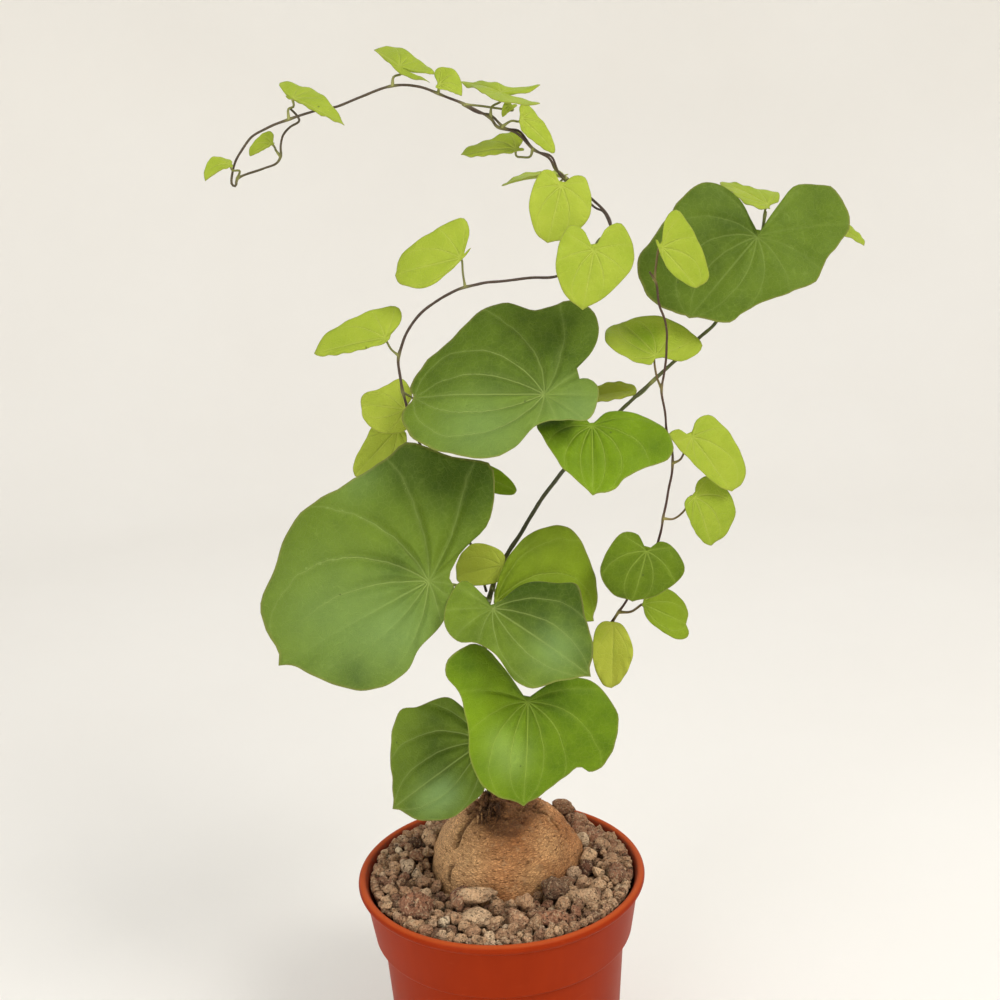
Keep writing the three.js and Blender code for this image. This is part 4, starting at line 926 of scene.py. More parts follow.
def make_caudex():
    """The tuber's grid, with fissures between raised lips, shallow dents and bark ripples along the
    surface normal. Marks: how near the crown, with painted shade added on the front just below it,
    how deep in a fissure and how worn each point is. The rings are turned about at the end, so that the faces
    look outward."""
    around, rows = 360, 150
    azimuth = np.linspace(0, 2 * np.pi, around, endpoint=False)[None, :]
    tilt = np.linspace(0.015, np.pi - 0.05, rows)[:, None]
    azimuth, tilt = np.broadcast_arrays(azimuth, tilt)
    points = caudex_surface(azimuth, tilt)
    outward = unit((points - CAUDEX_CENTRE) / np.array([1, 1, 0.85]))
    up = np.cos(tilt)
    ripple = rumple(points * [1, 1, 2.2], 2.6, 3) * 0.11 + rumple(points * [1, 1, 1.8], 1.3, 4) * 0.05
    dents = rumple(points, 14, 5) * 0.35 + rumple(points, 6.5, 6) * 0.18
    ridges = 0.16 * np.sin(26 * azimuth + 2.5 * rumple(points, 12, 7)) * np.exp(-(((up - 0.5) / 0.3) ** 2))
    relief = ripple + dents + ridges * rumple(points, 18, 8)
    crack = np.zeros(points.shape[:2])
    lips = np.zeros(points.shape[:2])
    for index, (path, full_width, depth) in enumerate(FISSURES):
        turn, level = np.array(path).T
        steps = 40
        line = smooth_route(caudex_spot(turn, level), steps)
        line += 0.35 * np.stack([rumple(line, 3.5, 20 + index)] * 3, axis=-1)
        gap = np.linalg.norm(points[:, :, None] - line, axis=-1)
        nearest = gap.min(axis=-1)
        share = gap.argmin(axis=-1) / steps
        taper = np.clip(4 * share * (1 - share), 0.0, 1) ** 0.5
        width = full_width * (0.4 + 0.6 * taper)
        cut = taper * np.exp(-((nearest / width) ** 2))
        crack = np.maximum(crack, cut)
        lips = np.maximum(lips, taper * np.exp(-(((nearest - 2.1 * width) / width) ** 2)))
        relief -= depth * cut
    relief += 0.55 * lips
    crown = np.exp(-(((1 - up) / 0.16) ** 2))
    front_shade = np.exp(-(((azimuth - 4.75) / 0.45) ** 2)) * np.exp(-(((up - 0.86) / 0.16) ** 2))
    relief += crown * (rumple(points, 3.2, 9) * 0.7 + rumple(points, 1.6, 10) * 0.3)
    relief -= BARK_SINK
    worn = 0.6 * lips
    for turn, level, size in WORN_PATCHES:
        offset = np.linalg.norm(points - caudex_spot(turn, level), axis=-1) / CAUDEX_RADIUS
        worn = np.maximum(worn, np.exp(-((offset / size) ** 2)))
    points = points + outward * relief[..., None]
    # Browned: nearness to the crown, plus painted shade on the front just below it.
    browned = np.clip(crown + 0.45 * front_shade, 0, 1)
    marks = np.stack([browned, crack, worn], axis=-1)[:, ::-1].reshape(-1, 3)
    marks = np.vstack([marks, [1, 0, 0], [0, 0, 0]])
    attributes = {"bark_marks": marks}
    add_piece("tuber", skin(points[:, ::-1]), TUBER_BARK, attributes, "caudex")


# Each stub: its places and its radius

STUBS = [
    ([(-3.5, 5.5, 113.5), (-5, 4, 117), (-6.5, 2, 120)], 1.3),
    ([(-1, 4, 113.5), (-1, 2.5, 116.5), (-1.5, 0.5, 118.5)], 1.1),
    ([(-6, 8, 113), (-7.5, 8, 116), (-9, 7, 118)], 1.2),
    ([(-4, 10, 113.5), (-4.5, 11.5, 118), (-4, 12.5, 119.5)], 1.0),
    ([(0.5, 7, 114), (1.5, 6, 116.5), (2.5, 5.5, 117.5)], 0.9),
]


def strip(line, beside, half, above, thickness, sides):
    """A thin closed strip along a line: each ring is an oval, `half` wide to either side."""
    turn = np.linspace(0, 2 * np.pi, sides, endpoint=False)
    ring = np.cos(turn)[None, :, None] * (beside * half)[:, None]
    ring = ring + np.sin(turn)[None, :, None] * above * thickness
    return skin(line[:, None] + ring)


def same_marks(points, browned, crack, worn):
    """The same three bark marks on all points."""
    return np.tile([browned, crack, worn], (len(points), 1))


def crown_stubs():
    """Dried stubs of old stems, and the folded collar of bark that they stand in."""
    parts = []
    steps = 14
    for path, radius in STUBS:
        line = smooth_route(path, steps)
        share = np.linspace(0, 1, steps + 1)
        radii = radius * (1 - 0.62 * share) * (1 + 0.12 * np.sin(9 * share + radius))
        points, faces = tube(line, radii, 14)
        points = points + rumple(points, 1.5, 12)[:, None] * 0.14
        tone = 0.75 + 0.25 * np.clip((points[:, 2:] - 114) / 5, 0, 1)
        parts.append((points, faces, np.hstack([tone, 0.15 + 0 * tone, 0 * tone])))
    around, levels = 60, 16
    turn = np.linspace(0, 2 * np.pi, around, endpoint=False)[None, :]
    rise = np.linspace(0, 1, levels)[:, None]
    folds = 1 + (0.16 * np.sin(9 * turn + 1.3) + 0.1 * np.sin(17 * turn + 4 * rise)) * (0.4 + rise)
    radius = (6.4 - 4.0 * rise**0.5) * folds
    height = 112.2 + 9.6 * rise * (0.86 + 0.14 * np.sin(5 * turn + 0.6) + 0.08 * np.sin(11 * turn))
    collar = np.stack([-3.2 + radius * np.cos(turn), 7.2 + radius * np.sin(turn), height], axis=-1)
    collar = collar + 0.3 * np.stack([rumple(collar, 1.8, seed) for seed in (14, 15, 16)], axis=-1)
    points, faces = skin(collar)
    tone = np.clip(0.95 - 0.8 * np.clip(rumple(points, 1.6, 17), 0, 1), 0, 1)[:, None]
    parts.append((points, faces, np.hstack([tone, 0.35 * tone, 0.7 * (1 - tone)])))
    return parts


def crown_strips(draw):
    """Papery flakes that stand off the crown and strips that hang over its front, each curved and
    narrowed to a tip, and thin upright fibres in its middle."""
    parts = []
    flakes, hanging, fibres, steps = 26, 38, 34, 8
    share = np.linspace(0, 1, steps + 1)[:, None]
    for index in range(flakes):
        turn = 2 * np.pi * (index + draw.uniform(-0.3, 0.3)) / flakes * 2
        level = draw.uniform(0.86, 0.985)
        root = caudex_spot(turn, level) - [0, 0, 0.7]
        outward = unit(root - CAUDEX_CENTRE + [0, 0, 8])
        along = unit(np.cross(outward, [0, 0, 1]) * draw.choice([-1, 1]) + outward * draw.uniform(0.4, 1.3))
        beside = unit(np.cross(along, outward))
        length, width = draw.uniform(2.0, 4.6), draw.uniform(0.7, 1.5)
        spine = root + along * length * share + outward * (0.9 * length * share * (1 - share) + 0.8 * share)
        half = width * (1 - share) ** 0.7 * (1 + 0.25 * np.sin(11 * share + index)) / 2
        points, faces = strip(spine, beside, half, outward, 0.09, 8)
        worn = draw.uniform(0, 0.9)
        browned = draw.uniform(0.2, 1.0)
        parts.append((points, faces, same_marks(points, browned, 0.1, worn)))
    for _ in range(hanging):
        root = np.array([draw.uniform(-8.5, 0.5), draw.uniform(1.0, 5.0), draw.uniform(114.5, 119.0)])
        fall = np.array([draw.uniform(-2.6, 2.2), draw.uniform(-3.8, -1.0), draw.uniform(-4.8, -0.5)])
        line = smooth_route([root, root + 0.5 * fall + [0, -0.6, 1.1], root + fall], steps)
        half = draw.uniform(0.35, 0.8) * (1 - share) ** 0.6
        beside = unit(np.cross(fall, [0, 0, 1]) + draw.normal(size=3) * 0.3)
        points, faces = strip(line, beside, half, unit(np.cross(beside, fall)), 0.1, 6)
        browned = draw.uniform(0.8, 1.0)
        worn = draw.choice([0.0] * 9 + [0.7])
        marks = same_marks(points, browned - 0.7 * worn, 0.75 - 0.7 * worn, worn)
        parts.append((points, faces, marks))
    for _ in range(fibres):
        turn, away = draw.uniform(0, 2 * np.pi), draw.uniform(0.5, 4.5)
        root = np.array([-3 + away * np.cos(turn), 7 + away * np.sin(turn), 114.5])
        lean = np.array([np.cos(turn), np.sin(turn) - 0.3, 0]) * draw.uniform(0.5, 3.2)
        end = root + lean + [0, 0, draw.uniform(1.5, 4.5)]
        middle = (root + end) / 2 + draw.normal(size=3) * 0.6
        line = smooth_route([root, middle, end], steps)
        points, faces = tube(line, np.linspace(0.22, 0.06, steps + 1), 5)
        parts.append((points, faces, same_marks(points, draw.uniform(0.6, 1.0), 0.25, 0)))
    return parts


def make_crown():
    """All that stands on the tuber's crown, as one piece."""
    points, faces, marks = joined(crown_stubs() + crown_strips(np.random.default_rng(11)))
    add_piece("crown_stubs", (points, faces), TUBER_BARK, {"bark_marks": marks})


# Grit: the place, radius, stretch along the three axes, tone and redness of grains that stand out

NAMED_GRAINS = [
    ((25.2, 37.0, 98.6), 3.7, (1.2, 1.0, 0.85), 0.42, 0.35),
    ((30.5, 31.5, 96.2), 3.6, (1.1, 1.0, 0.9), 0.4, 0.4),
    ((31, 20, 94.6), 3.6, (1.0, 1.1, 0.9), 0.5, 0.4),
    ((26, 31.5, 93.0), 3.4, (1.1, 0.9, 0.9), 0.5, 0.2),
    ((38.5, 12, 94.6), 3.7, (0.9, 1.1, 0.9), 0.6, 0.2),
    ((40.5, 2, 94.2), 3.7, (1.0, 1.2, 0.8), 0.45, 0.1),
    ((29.5, 27, 93.2), 3.7, (1.1, 1.0, 0.9), 0.35, 0.6),
    ((35.5, 20, 94.4), 3.9, (1.0, 1.1, 0.9), 0.35, 0.55),
    ((21.5, 35, 93.6), 3.4, (1.1, 1.0, 0.8), 0.45, 0.3),
    ((18.6, -20.0, 96.6), 4.9, (1.1, 0.9, 0.9), 0.14, 0.0),
    ((-8.5, -23, 97.2), 4.7, (1.5, 0.9, 0.65), 0.74, 0.1),
    ((-30.5, -26, 95.6), 5.4, (1.1, 1.0, 0.95), 0.36, 0.65),
    ((41.6, -8, 94.0), 4.6, (0.95, 1.0, 1.0), 0.22, 0.3),
    ((-8.5, -34, 94.6), 4.6, (1.2, 1.0, 0.85), 0.8, 0.05),
    ((5.5, -35.5, 93.9), 4.2, (1.0, 1.0, 1.1), 0.6, 0.4),
    ((17.5, -34.5, 93.8), 4.7, (1.35, 0.9, 0.85), 0.4, 0.6),
    ((28, -23.5, 95.2), 4.4, (1.5, 0.9, 0.7), 0.7, 0.1),
]
LOOSE_GRAINS = [(2.7, 3.8, 44), (1.9, 2.7, 260), (1.1, 1.9, 440)]  # least and greatest radius, number
LARGE_GRAIN = 2.7  # a grain of this radius or more has more faces
GRAIN_OVERLAP = 0.93  # how near two grains come, as a share of their radii's sum
GRAIN_LIMIT = 48.3  # how far out grains reach


def ball(levels):
    """Corners and faces of a ball made from an icosahedron."""
    shape = bmesh.new()
    bmesh.ops.create_icosphere(shape, subdivisions=levels, radius=1)
    shape.verts.ensure_lookup_table()
    corners = np.array([corner.co[:] for corner in shape.verts])
    faces = np.array([[corner.index for corner in face.verts] for face in shape.faces])
    shape.free()
    return corners, faces


def settle(radii, fixed_places, fixed_radii, draw):
    """Grains as balls that fall, push each other apart, and stay inside the pot's wall, above the
    bed and outside the tuber, until they lie still. Named grains never move."""
    count = len(radii)
    turn = draw.uniform(0, 2 * np.pi, count)
    nearest, farthest = 28.0, 45.0
    far = np.sqrt(draw.uniform(nearest**2, farthest**2, count))
    free = np.stack([far * np.cos(turn), far * np.sin(turn), draw.uniform(88, 112, count)], axis=-1)
    size = np.concatenate([radii, fixed_radii])
    reach = (size[:, None] + size[None, :]) * GRAIN_OVERLAP
    place = np.vstack([free, fixed_places])
    steps, slow_steps = 420, 60
    fall, slow_fall = 0.45, 0.05
    give, farthest_shift = 0.4, 1.2
    rise_start, rise_width = 34, 10  # the bed lies higher and flatter toward the wall
    for step in range(steps):
        place[:count, 2] -= fall if step < steps - slow_steps else slow_fall
        apart = place[:, None] - place[None, :]
        distance = np.linalg.norm(apart, axis=-1) + np.eye(len(size)) * 1000
        press = np.maximum(0, reach - distance) / distance
        shift = (apart * press[..., None]).sum(axis=1) * give
        place[:count] += np.clip(shift[:count], -farthest_shift, farthest_shift)
        offset = place[:count, :2] - CAUDEX_CENTRE[:2]
        off = np.linalg.norm(offset, axis=1)
        up = np.clip((place[:count, 2] - CAUDEX_CENTRE[2]) / CAUDEX_RISE, 0, 0.98)
        wall = CAUDEX_RADIUS * (1 - up**2) ** 0.45 + 0.9 * radii
        push = np.maximum(1, wall / off)
        place[:count, :2] = CAUDEX_CENTRE[:2] + offset * push[:, None]
        out = np.linalg.norm(place[:count, :2], axis=1)
        limit = GRAIN_LIMIT - 0.9 * radii
        place[:count, :2] *= np.minimum(1, limit / out)[:, None]
        near_wall = np.clip((out - rise_start) / rise_width, 0, 1)
        lowest = BED_HEIGHT + 2.0 + 4.4 * near_wall + 0.75 * radii
        highest = POT_HEIGHT + 4.0 - 3.4 * near_wall - radii
        place[:count, 2] = np.clip(place[:count, 2], lowest, highest)
    return place[:count]


def grain_shapes(corners, radii, stretches, seed):
    """Irregular lumps: a ball whose surface rises and falls with seeded waves, flattened by some
    planes, then squeezed along three axes and turned at random. A grain with a stretch of its own
    isn't turned. The result holds grains, corners and coordinates, in this order."""
    draw = np.random.default_rng(seed)
    count = len(radii)
    pace = draw.normal(size=(count, 7, 3)) * np.array([1.6, 1.9, 2.3, 3.0, 3.8, 4.8, 5.6])[None, :, None]
    phase = draw.uniform(0, 2 * np.pi, (count, 7, 1))
    size = np.array([0.12, 0.12, 0.12, 0.11, 0.1, 0.09, 0.08])[None, :, None]
    waves = (size * np.sin(pace @ corners.T + phase)).sum(axis=1)
    lumps = corners[None] * (1 + waves)[..., None]
    planes = 9
    for _ in range(planes):
        plane = unit(draw.normal(size=(count, 1, 3)))
        level = draw.uniform(0.6, 0.92, (count, 1))
        excess = np.maximum(0, (lumps * plane).sum(axis=-1) - level)
        lumps = lumps - 0.8 * excess[..., None] * plane
    frames = np.linalg.qr(draw.normal(size=(count, 3, 3)))[0]
    frames *= np.sign(np.linalg.det(frames))[:, None, None]
    loose = draw.uniform([0.92, 0.9, 0.74], [1.2, 1.12, 1.0], (count, 3))
    named = stretches[:, 0] > 0
    frames[named] = np.eye(3)
    squeeze = np.where(named[:, None], stretches, loose)
    return (lumps * squeeze[:, None, :] @ frames) * np.asarray(radii)[:, None, None]


def make_grit():
    """Loose pumice grains settled between pot and tuber, over the filling's bed. Marks: each grain's
    tone and redness, and painted shade from how deep a point lies in the bed and how low on its own grain."""
    draw = np.random.default_rng(5)
    radii = np.concatenate([draw.uniform(*sizes) for sizes in LOOSE_GRAINS])
    named_places, named_radii, named_stretches, *named_tones = (
        np.array(column, float) for column in zip(*NAMED_GRAINS))
    places = settle(radii, named_places, named_radii, draw)
    tones = np.column_stack([
        np.clip(draw.normal(0.55, 0.24, len(radii)), 0.05, 0.98),
        np.clip(draw.normal(0.08, 0.25, len(radii)), 0, 0.85)])
    # Painted shade: grains toward the right side (positive x) get darker tones.
    tones[:, 0] -= 0.08 * np.clip(places[:, 0] / 30, 0, 1)
    stretches = np.zeros((len(named_radii) + len(radii), 3))
    stretches[:len(named_radii)] = named_stretches
    places = np.vstack([named_places, places])
    radii = np.concatenate([named_radii, radii])
    tones = np.vstack([np.column_stack(named_tones), tones])
    parts = []
    for levels, chosen in ((3, radii >= LARGE_GRAIN), (2, radii < LARGE_GRAIN)):
        corners, faces = ball(levels)
        lumps = grain_shapes(corners, radii[chosen], stretches[chosen], 40 + levels)
        lumps = lumps + places[chosen][:, None]
        out = np.linalg.norm(lumps[..., :2], axis=-1)
        lumps[..., :2] *= np.minimum(1, (GRAIN_LIMIT - 0.1) / np.maximum(out, 1))[..., None]
        # Painted shade: points low in the bed and low on their own grain get a darkening amount.
        deep = np.clip((POT_HEIGHT - 4.0 - lumps[..., 2]) / 5.0, 0, 1)
        under = (places[chosen][:, None, 2] - lumps[..., 2]) / radii[chosen][:, None]
        deep = np.maximum(deep, 0.75 * np.clip(under + 0.05, 0, 1))
        marks = np.concatenate([
            np.broadcast_to(tones[chosen][:, None], lumps.shape[:2] + (2,)), deep[..., None]], axis=-1)
        number = np.arange(len(lumps))[:, None, None] * len(corners)
        parts.append((lumps.reshape(-1, 3), [(faces[None] + number).reshape(-1, 3)], marks.reshape(-1, 3)))
    bed = [*pot_inside(0.3)[:-1], [46.6, BED_HEIGHT], [0, BED_HEIGHT]]
    points, faces = turned(bed, 72)
    # The bed between the grains is painted in full shade.
    parts.append((points, faces, np.tile([0.1, 0.0, 1.0], (len(points), 1))))
    points, faces, marks = joined(parts)
    add_piece("pumice_grains", (points, faces), PUMICE, {"grain_tone_and_shade": marks}, "grit", 1)


# Stems

STEM_STEP = 0.8  # length between two rings of a stem
STALK_STEP = 0.6
JOINT_REACH = 1.5  # how far the swelling at a stalk's foot reaches along the stem
JOINT_RISE = 0.3  # how much thicker the stem is there, as a share


def marked_tube(line, radii, sides, fresh, swelling):
    """A tube with its marks: how fresh and how swollen it is at each point of its line."""
    points, faces = tube(line, radii, sides)
    rings = np.concatenate([[0] * 3, np.arange(len(line)), [len(line) - 1] * 3])
    marks = np.column_stack([fresh, swelling, 0 * fresh])[rings].repeat(sides, axis=0)
    return points, faces, np.vstack([marks, marks[:1], marks[-1:]])


def make_stem(name, slot, strands, prefix, swellings=()):
    """A stem with its leaf stalks. Each strand is a tube whose radius falls evenly, with a swelling
    where a stalk starts and at the named places. A stalk is thick at its foot and meets its blade."""
    parts = []
    feet = [np.array(leaf["stalk"][0], float) for label, leaf in LEAVES.items() if label.startswith(prefix)]
    joints = np.array(feet + [np.array(place, float) for place in swellings])
    for route, start, end, sides, freshness in strands:
        length = np.linalg.norm(np.diff(np.array(route, float), axis=0), axis=1).sum()
        line = smooth_route(route, int(length / STEM_STEP))
        share = np.linspace(0, 1, len(line))
        away = np.linalg.norm(line[:, None] - joints[None], axis=-1).min(axis=1)
        swelling = np.exp(-((away / JOINT_REACH) ** 2))
        radii = (start + (end - start) * share) * (1 + JOINT_RISE * swelling)
        radii = radii * (1 + 0.05 * rumple(line, 5, 31) + 0.03 * rumple(line, 2, 32))
        line = line + 0.12 * np.column_stack([rumple(line, 9, seed) for seed in (33, 34, 35)])
        fresh = freshness[0] + (freshness[1] - freshness[0]) * share
        parts.append(marked_tube(line, radii, sides, fresh, 0.55 * swelling))
    for label, leaf in LEAVES.items():
        if not label.startswith(prefix):
            continue
        thickness = HABIT[leaf["age"]]["stalk_radius"]
        facing = blade_facing(leaf)
        base = np.array(leaf["base"], float)
        behind, touching = 2.2 + thickness, 0.25
        route = [*leaf["stalk"], base - facing * behind, base - facing * touching]
        length = np.linalg.norm(np.diff(route, axis=0), axis=1).sum()
        line = smooth_route(route, max(10, int(length / STALK_STEP)))
        share = np.linspace(0, 1, len(line))
        gone = share * length
        radii = thickness * (0.9 + 0.5 * np.exp(-((gone / 1.6) ** 2)))
        radii += thickness * 0.25 * np.exp(-(((length - gone) / 1.0) ** 2))
        swelling = np.exp(-((gone / 2.0) ** 2)) + 0.7 * np.exp(-(((length - gone) / 1.8) ** 2))
        parts.append(marked_tube(line, radii, 10, 0.55 + 0.45 * share, swelling))
    points, faces, looks = joined(parts)
    add_piece(name + "_fine", (points, faces), STEMS[slot], {"stem_looks": looks}, name)


# Leaves


SHEET_RISE = 0.24  # half a blade's thickness in its middle
RIM_THINNING = 0.1  # how much thinner that half is at the margin
PAST_MARGIN = 1.01  # the rim's own share, just past the margin's share of one
WAVES_ROUND = 7
FRILLS_ROUND = 11


def blade_across(leaf):
    """The way from one side of a blade to the other, between the middle places of its edges."""
    middle_a, middle_b = (
        np.array(leaf[edge][(len(leaf[edge]) - 1) // 2], float) for edge in ("edge_a", "edge_b"))
    return middle_a - middle_b


def blade_facing(leaf):
    """The way that a blade's front faces: square to the midrib and to the way across."""
    facing = unit(np.cross(leaf["tip"], blade_across(leaf)))
    return -facing if facing @ [0, -1, 0.4] < 0 else facing


def half_edge(tip, places, cleft, steps):
    """Half a blade's edge from the tip round to the cleft. A small leaf gives only its side and back
    lobe, and shares of them place the points between."""
    places = [np.array(place, float) for place in places]
    if len(places) > 2:
        route = [tip, *places]
    else:
        side, lobe = places
        route = [
            tip,
            0.83 * tip + 0.33 * side,
            0.58 * tip + 0.62 * side,
            side,
            lobe,
            0.45 * lobe + 0.28 * np.linalg.norm(lobe) * cleft,
            0.14 * lobe - 0.05 * tip,
        ]
    return smooth_route(route, steps)


def unfold(edge, crease, across, cleft, least_turn):
    """Turns edge points about the stalk's end where needed, so that the edge keeps turning one way
    from the midrib to the cleft."""
    def angle_of(point):
        """The angle from the midrib toward this half's side and on to behind the stalk's end."""
        angle = np.arctan2(point @ across, point @ crease)
        return np.where(angle < -np.pi / 2, angle + 2 * np.pi, angle)

    angle = angle_of(edge)
    count = len(edge)
    index = np.arange(count)
    ramp = least_turn * (index - 1)
    lowest = np.maximum.accumulate(np.append(0, angle[:-1]) - ramp) + ramp
    wanted = np.minimum(np.maximum(angle, lowest), angle_of(cleft) - least_turn * (count - index))
    turn = (wanted - angle)[:, None]
    axis = np.cross(crease, across)
    turned_points = edge * np.cos(turn) + np.cross(axis, edge) * np.sin(turn)
    return turned_points + axis * (edge @ axis)[:, None] * (1 - np.cos(turn))


def is_large(leaf):
    """Whether a leaf's edges are given in full."""
    return len(leaf["edge_a"]) > 2


def blade_edge(leaf, crease, across):
    """The edge from the tip round both halves, with small scallops and a drawn-out tip."""
    tip = np.array(leaf["tip"], float)
    length = np.linalg.norm(tip)
    steps, turns = (54, 18) if is_large(leaf) else (30, 8)
    last_a, last_b = (np.array(leaf[edge][-1], float) for edge in ("edge_a", "edge_b"))
    cleft = unit(unit(last_a) + unit(last_b) - crease)
    least_turn = 0.03 * turns / steps
    edge_a = unfold(half_edge(tip, leaf["edge_a"], cleft, steps), crease, across, cleft, least_turn)
    edge_b = unfold(half_edge(tip, leaf["edge_b"], cleft, steps), crease, -across, cleft, least_turn)
    edge = np.vstack([edge_a, edge_b[:0:-1]])
    size, scallop, point = (0.985, 0.011, 0.03) if is_large(leaf) else (0.95, 0.006, 0.035)
    size = size + scallop * rumple(np.array(leaf["base"], float) + edge, 0.16 * length + 2, 63)
    size = size + point * np.exp(-((np.linalg.norm(edge - edge[0], axis=1) / 1.3) ** 2))
    return edge * size[:, None]


def vein_pattern(x, y, large):
    """The vein count over a blade one unit long: the angle about the stalk's end, plus a share of
    the angle about the tip, over the step from vein to vein. Also how far apart whole counts lie."""
    near, far = np.hypot(x, y) + 1e-4, np.hypot(x, 1 - y) + 1e-4
    pull, step = (0.62, 0.52) if large else (0.5, 0.7)
    count = (np.arctan2(x, y) + pull * np.arctan2(x, 1 - y)) / step
    slope = np.hypot(y / near**2 + pull * (1 - y) / far**2, pull * x / far**2 - x / near**2)
    return count, step, slope


def add_spots(values, looks, wanted, spots):
    """Values plus the blade's soft spots of one kind: amount times e to the minus squared distance
    over size."""
    for kind, x, y, size, amount in looks.get("spots", ()):
        if kind == wanted:
            gap = np.linalg.norm(spots - [x, y], axis=-1)
            values = values + amount * np.exp(-((gap / size) ** 2))
    return values


def blade_faces(ring_count, count):
    """Faces of two sheets of rings, each with a middle point, that meet in one rim row."""
    grid = 1 + np.arange(ring_count * count).reshape(ring_count, count)
    beyond = np.roll(grid, -1, axis=1)
    shift = 1 + ring_count * count
    edge_row = 2 * shift + np.arange(count)
    edge_next = np.roll(edge_row, -1)
    sheet = np.stack([grid[:-1], grid[1:], beyond[1:], beyond[:-1]], axis=-1).reshape(-1, 4)
    centre = np.column_stack([np.zeros(count, int), grid[0], beyond[0]])
    rim_up = np.column_stack([grid[-1], edge_row, edge_next, beyond[-1]])
    rim_down = np.column_stack([grid[-1] + shift, beyond[-1] + shift, edge_next, edge_row])
    return [sheet, centre, sheet[:, ::-1] + shift, centre[:, ::-1] + shift, rim_up, rim_down]


def make_blade(label, leaf, looks):
    """A blade: rings of its edge drawn in toward the stalk's end. Each point stands off the blade's
    plane by the fold along the midrib, the hang toward the tip, a wave and a frill of the margin, a
    soft rise between veins and a rumple. Two such sheets close at the rim, and the edge has a point
    at the tip. Attributes carry the veins, the leaf's own looks, its spots and which side is rear."""
    habit = HABIT[leaf["age"]]
    base, tip = np.array(leaf["base"], float), np.array(leaf["tip"], float)
    facing = blade_facing(leaf)
    large = is_large(leaf)
    ring_count = 24 if large else 12
    crease = unit(tip)
    across = blade_across(leaf)
    reach = np.linalg.norm(across) / 2
    across = unit(across - crease * (across @ crease))
    edge = blade_edge(leaf, crease, across)
    length = np.linalg.norm(tip)
    count = len(edge)

    share = np.linspace(0.02, 1, ring_count) ** 0.9
    flat = edge[None] * share[:, None, None]
    along = flat @ crease
    beside = np.linalg.norm(flat - along[..., None] * crease, axis=-1)
    sideways = flat @ across
    wave = 0.02 * reach * np.sin(WAVES_ROUND * np.arctan2(beside, along) + base[0]) * share[:, None] ** 3
    hang = habit["droop"] * along * np.abs(along) / length

    x, y = beside / length, along / length
    vein_count, step, slope = vein_pattern(x, y, large)
    spacing = step * length / slope
    off_vein = np.abs((vein_count + 0.5) % 1 - 0.5) * spacing
    vein_strength, cloud_strength = looks.get("contrast", (0.85, 0.7) if large else (0.65, 0.7))
    spots = np.stack([sideways / length, y], axis=-1)
    relief = np.clip(add_spots(np.full(x.shape, vein_strength), looks, "veins", spots), 0.1, 2)
    puff = looks.get("puff", 1.2 if large else 0.5) * 0.032 * length * relief
    swell_width = 0.028 * length
    swell = puff * (1 - np.exp(-((off_vein / swell_width) ** 2))) * (1 - share[:, None] ** 4)
    place = base + flat
    fine = rumple(place, 0.8 * length, 60) * 0.022 * length + rumple(place, 0.3 * length, 62) * 0.006 * length
    fine = fine * looks.get("rumple", 1.0) + rumple(place, 4.5, 61) * 0.05
    frills = np.sin(2 * np.pi * np.arange(count) / count * FRILLS_ROUND + base[2])
    frill = 0.012 * length * frills[None] * share[:, None] ** 6
    lift = habit["fold"] * beside - hang + wave + swell + fine * share[:, None] + frill
    surface = place + facing * lift[..., None]

    half = (SHEET_RISE - RIM_THINNING * share[:, None, None] ** 2) * np.ones((1, count, 1))
    front, rear = surface + facing * half, surface - facing * half
    rim = 0.5 * (front[-1] + rear[-1]) + unit(edge) * 0.1
    middle = base + facing * lift[0].mean()
    points = np.vstack([
        middle + facing * SHEET_RISE, front.reshape(-1, 3),
        middle - facing * SHEET_RISE, rear.reshape(-1, 3), rim])
    faces = blade_faces(ring_count, count)
    if np.cross(edge[0], edge[1]) @ facing < 0:
        faces = [group[:, ::-1] for group in faces]

    column = np.arange(count)
    lean = np.clip(np.minimum(column, count - column) / 4, 0, 1) / 2
    lean = np.where(column <= count // 2, lean, -lean)
    # Painted light and shade on each half and in soft spots, and the painted sheen in soft spots.
    side_a, side_b = looks.get("sides", (0.0, 0.0))
    zero = np.zeros(x.shape)
    painted_light = add_spots(zero, looks, "painted_light", spots) + (side_a * (0.5 + lean) + side_b * (0.5 - lean))
    painted_sheen = add_spots(zero, looks, "painted_sheen", spots)

    def both(*values):
        """One vertex attribute from three values over the front, said again for the rear and rim."""
        sheet = np.stack([value + zero for value in values], axis=-1)
        one = np.vstack([sheet[0].mean(axis=0), sheet.reshape(-1, 3)])
        return np.vstack([one, one, sheet[-1]])

    light = both(painted_sheen, painted_light, zero)
    sheet_size = 1 + ring_count * count
    light[sheet_size:2 * sheet_size, 2] = 1
    leaf_place = both(sideways / length, y, share[:, None])
    leaf_place[-count:, 2] = PAST_MARGIN
    seed = base @ [1.7, 2.3, 3.1] % 97
    attributes = {
        "leaf_place": leaf_place,
        "leaf_vein": both(vein_count, spacing, length),
        "leaf_looks": np.tile([looks.get("tone", 0.0), looks.get("yellow", 0.0), seed], (len(points), 1)),
        "leaf_light": light,
        "leaf_contrast": both(relief, cloud_strength, zero),
    }
    add_piece(label + "_fine", (points, faces), BLADES[leaf["age"]], attributes, label)
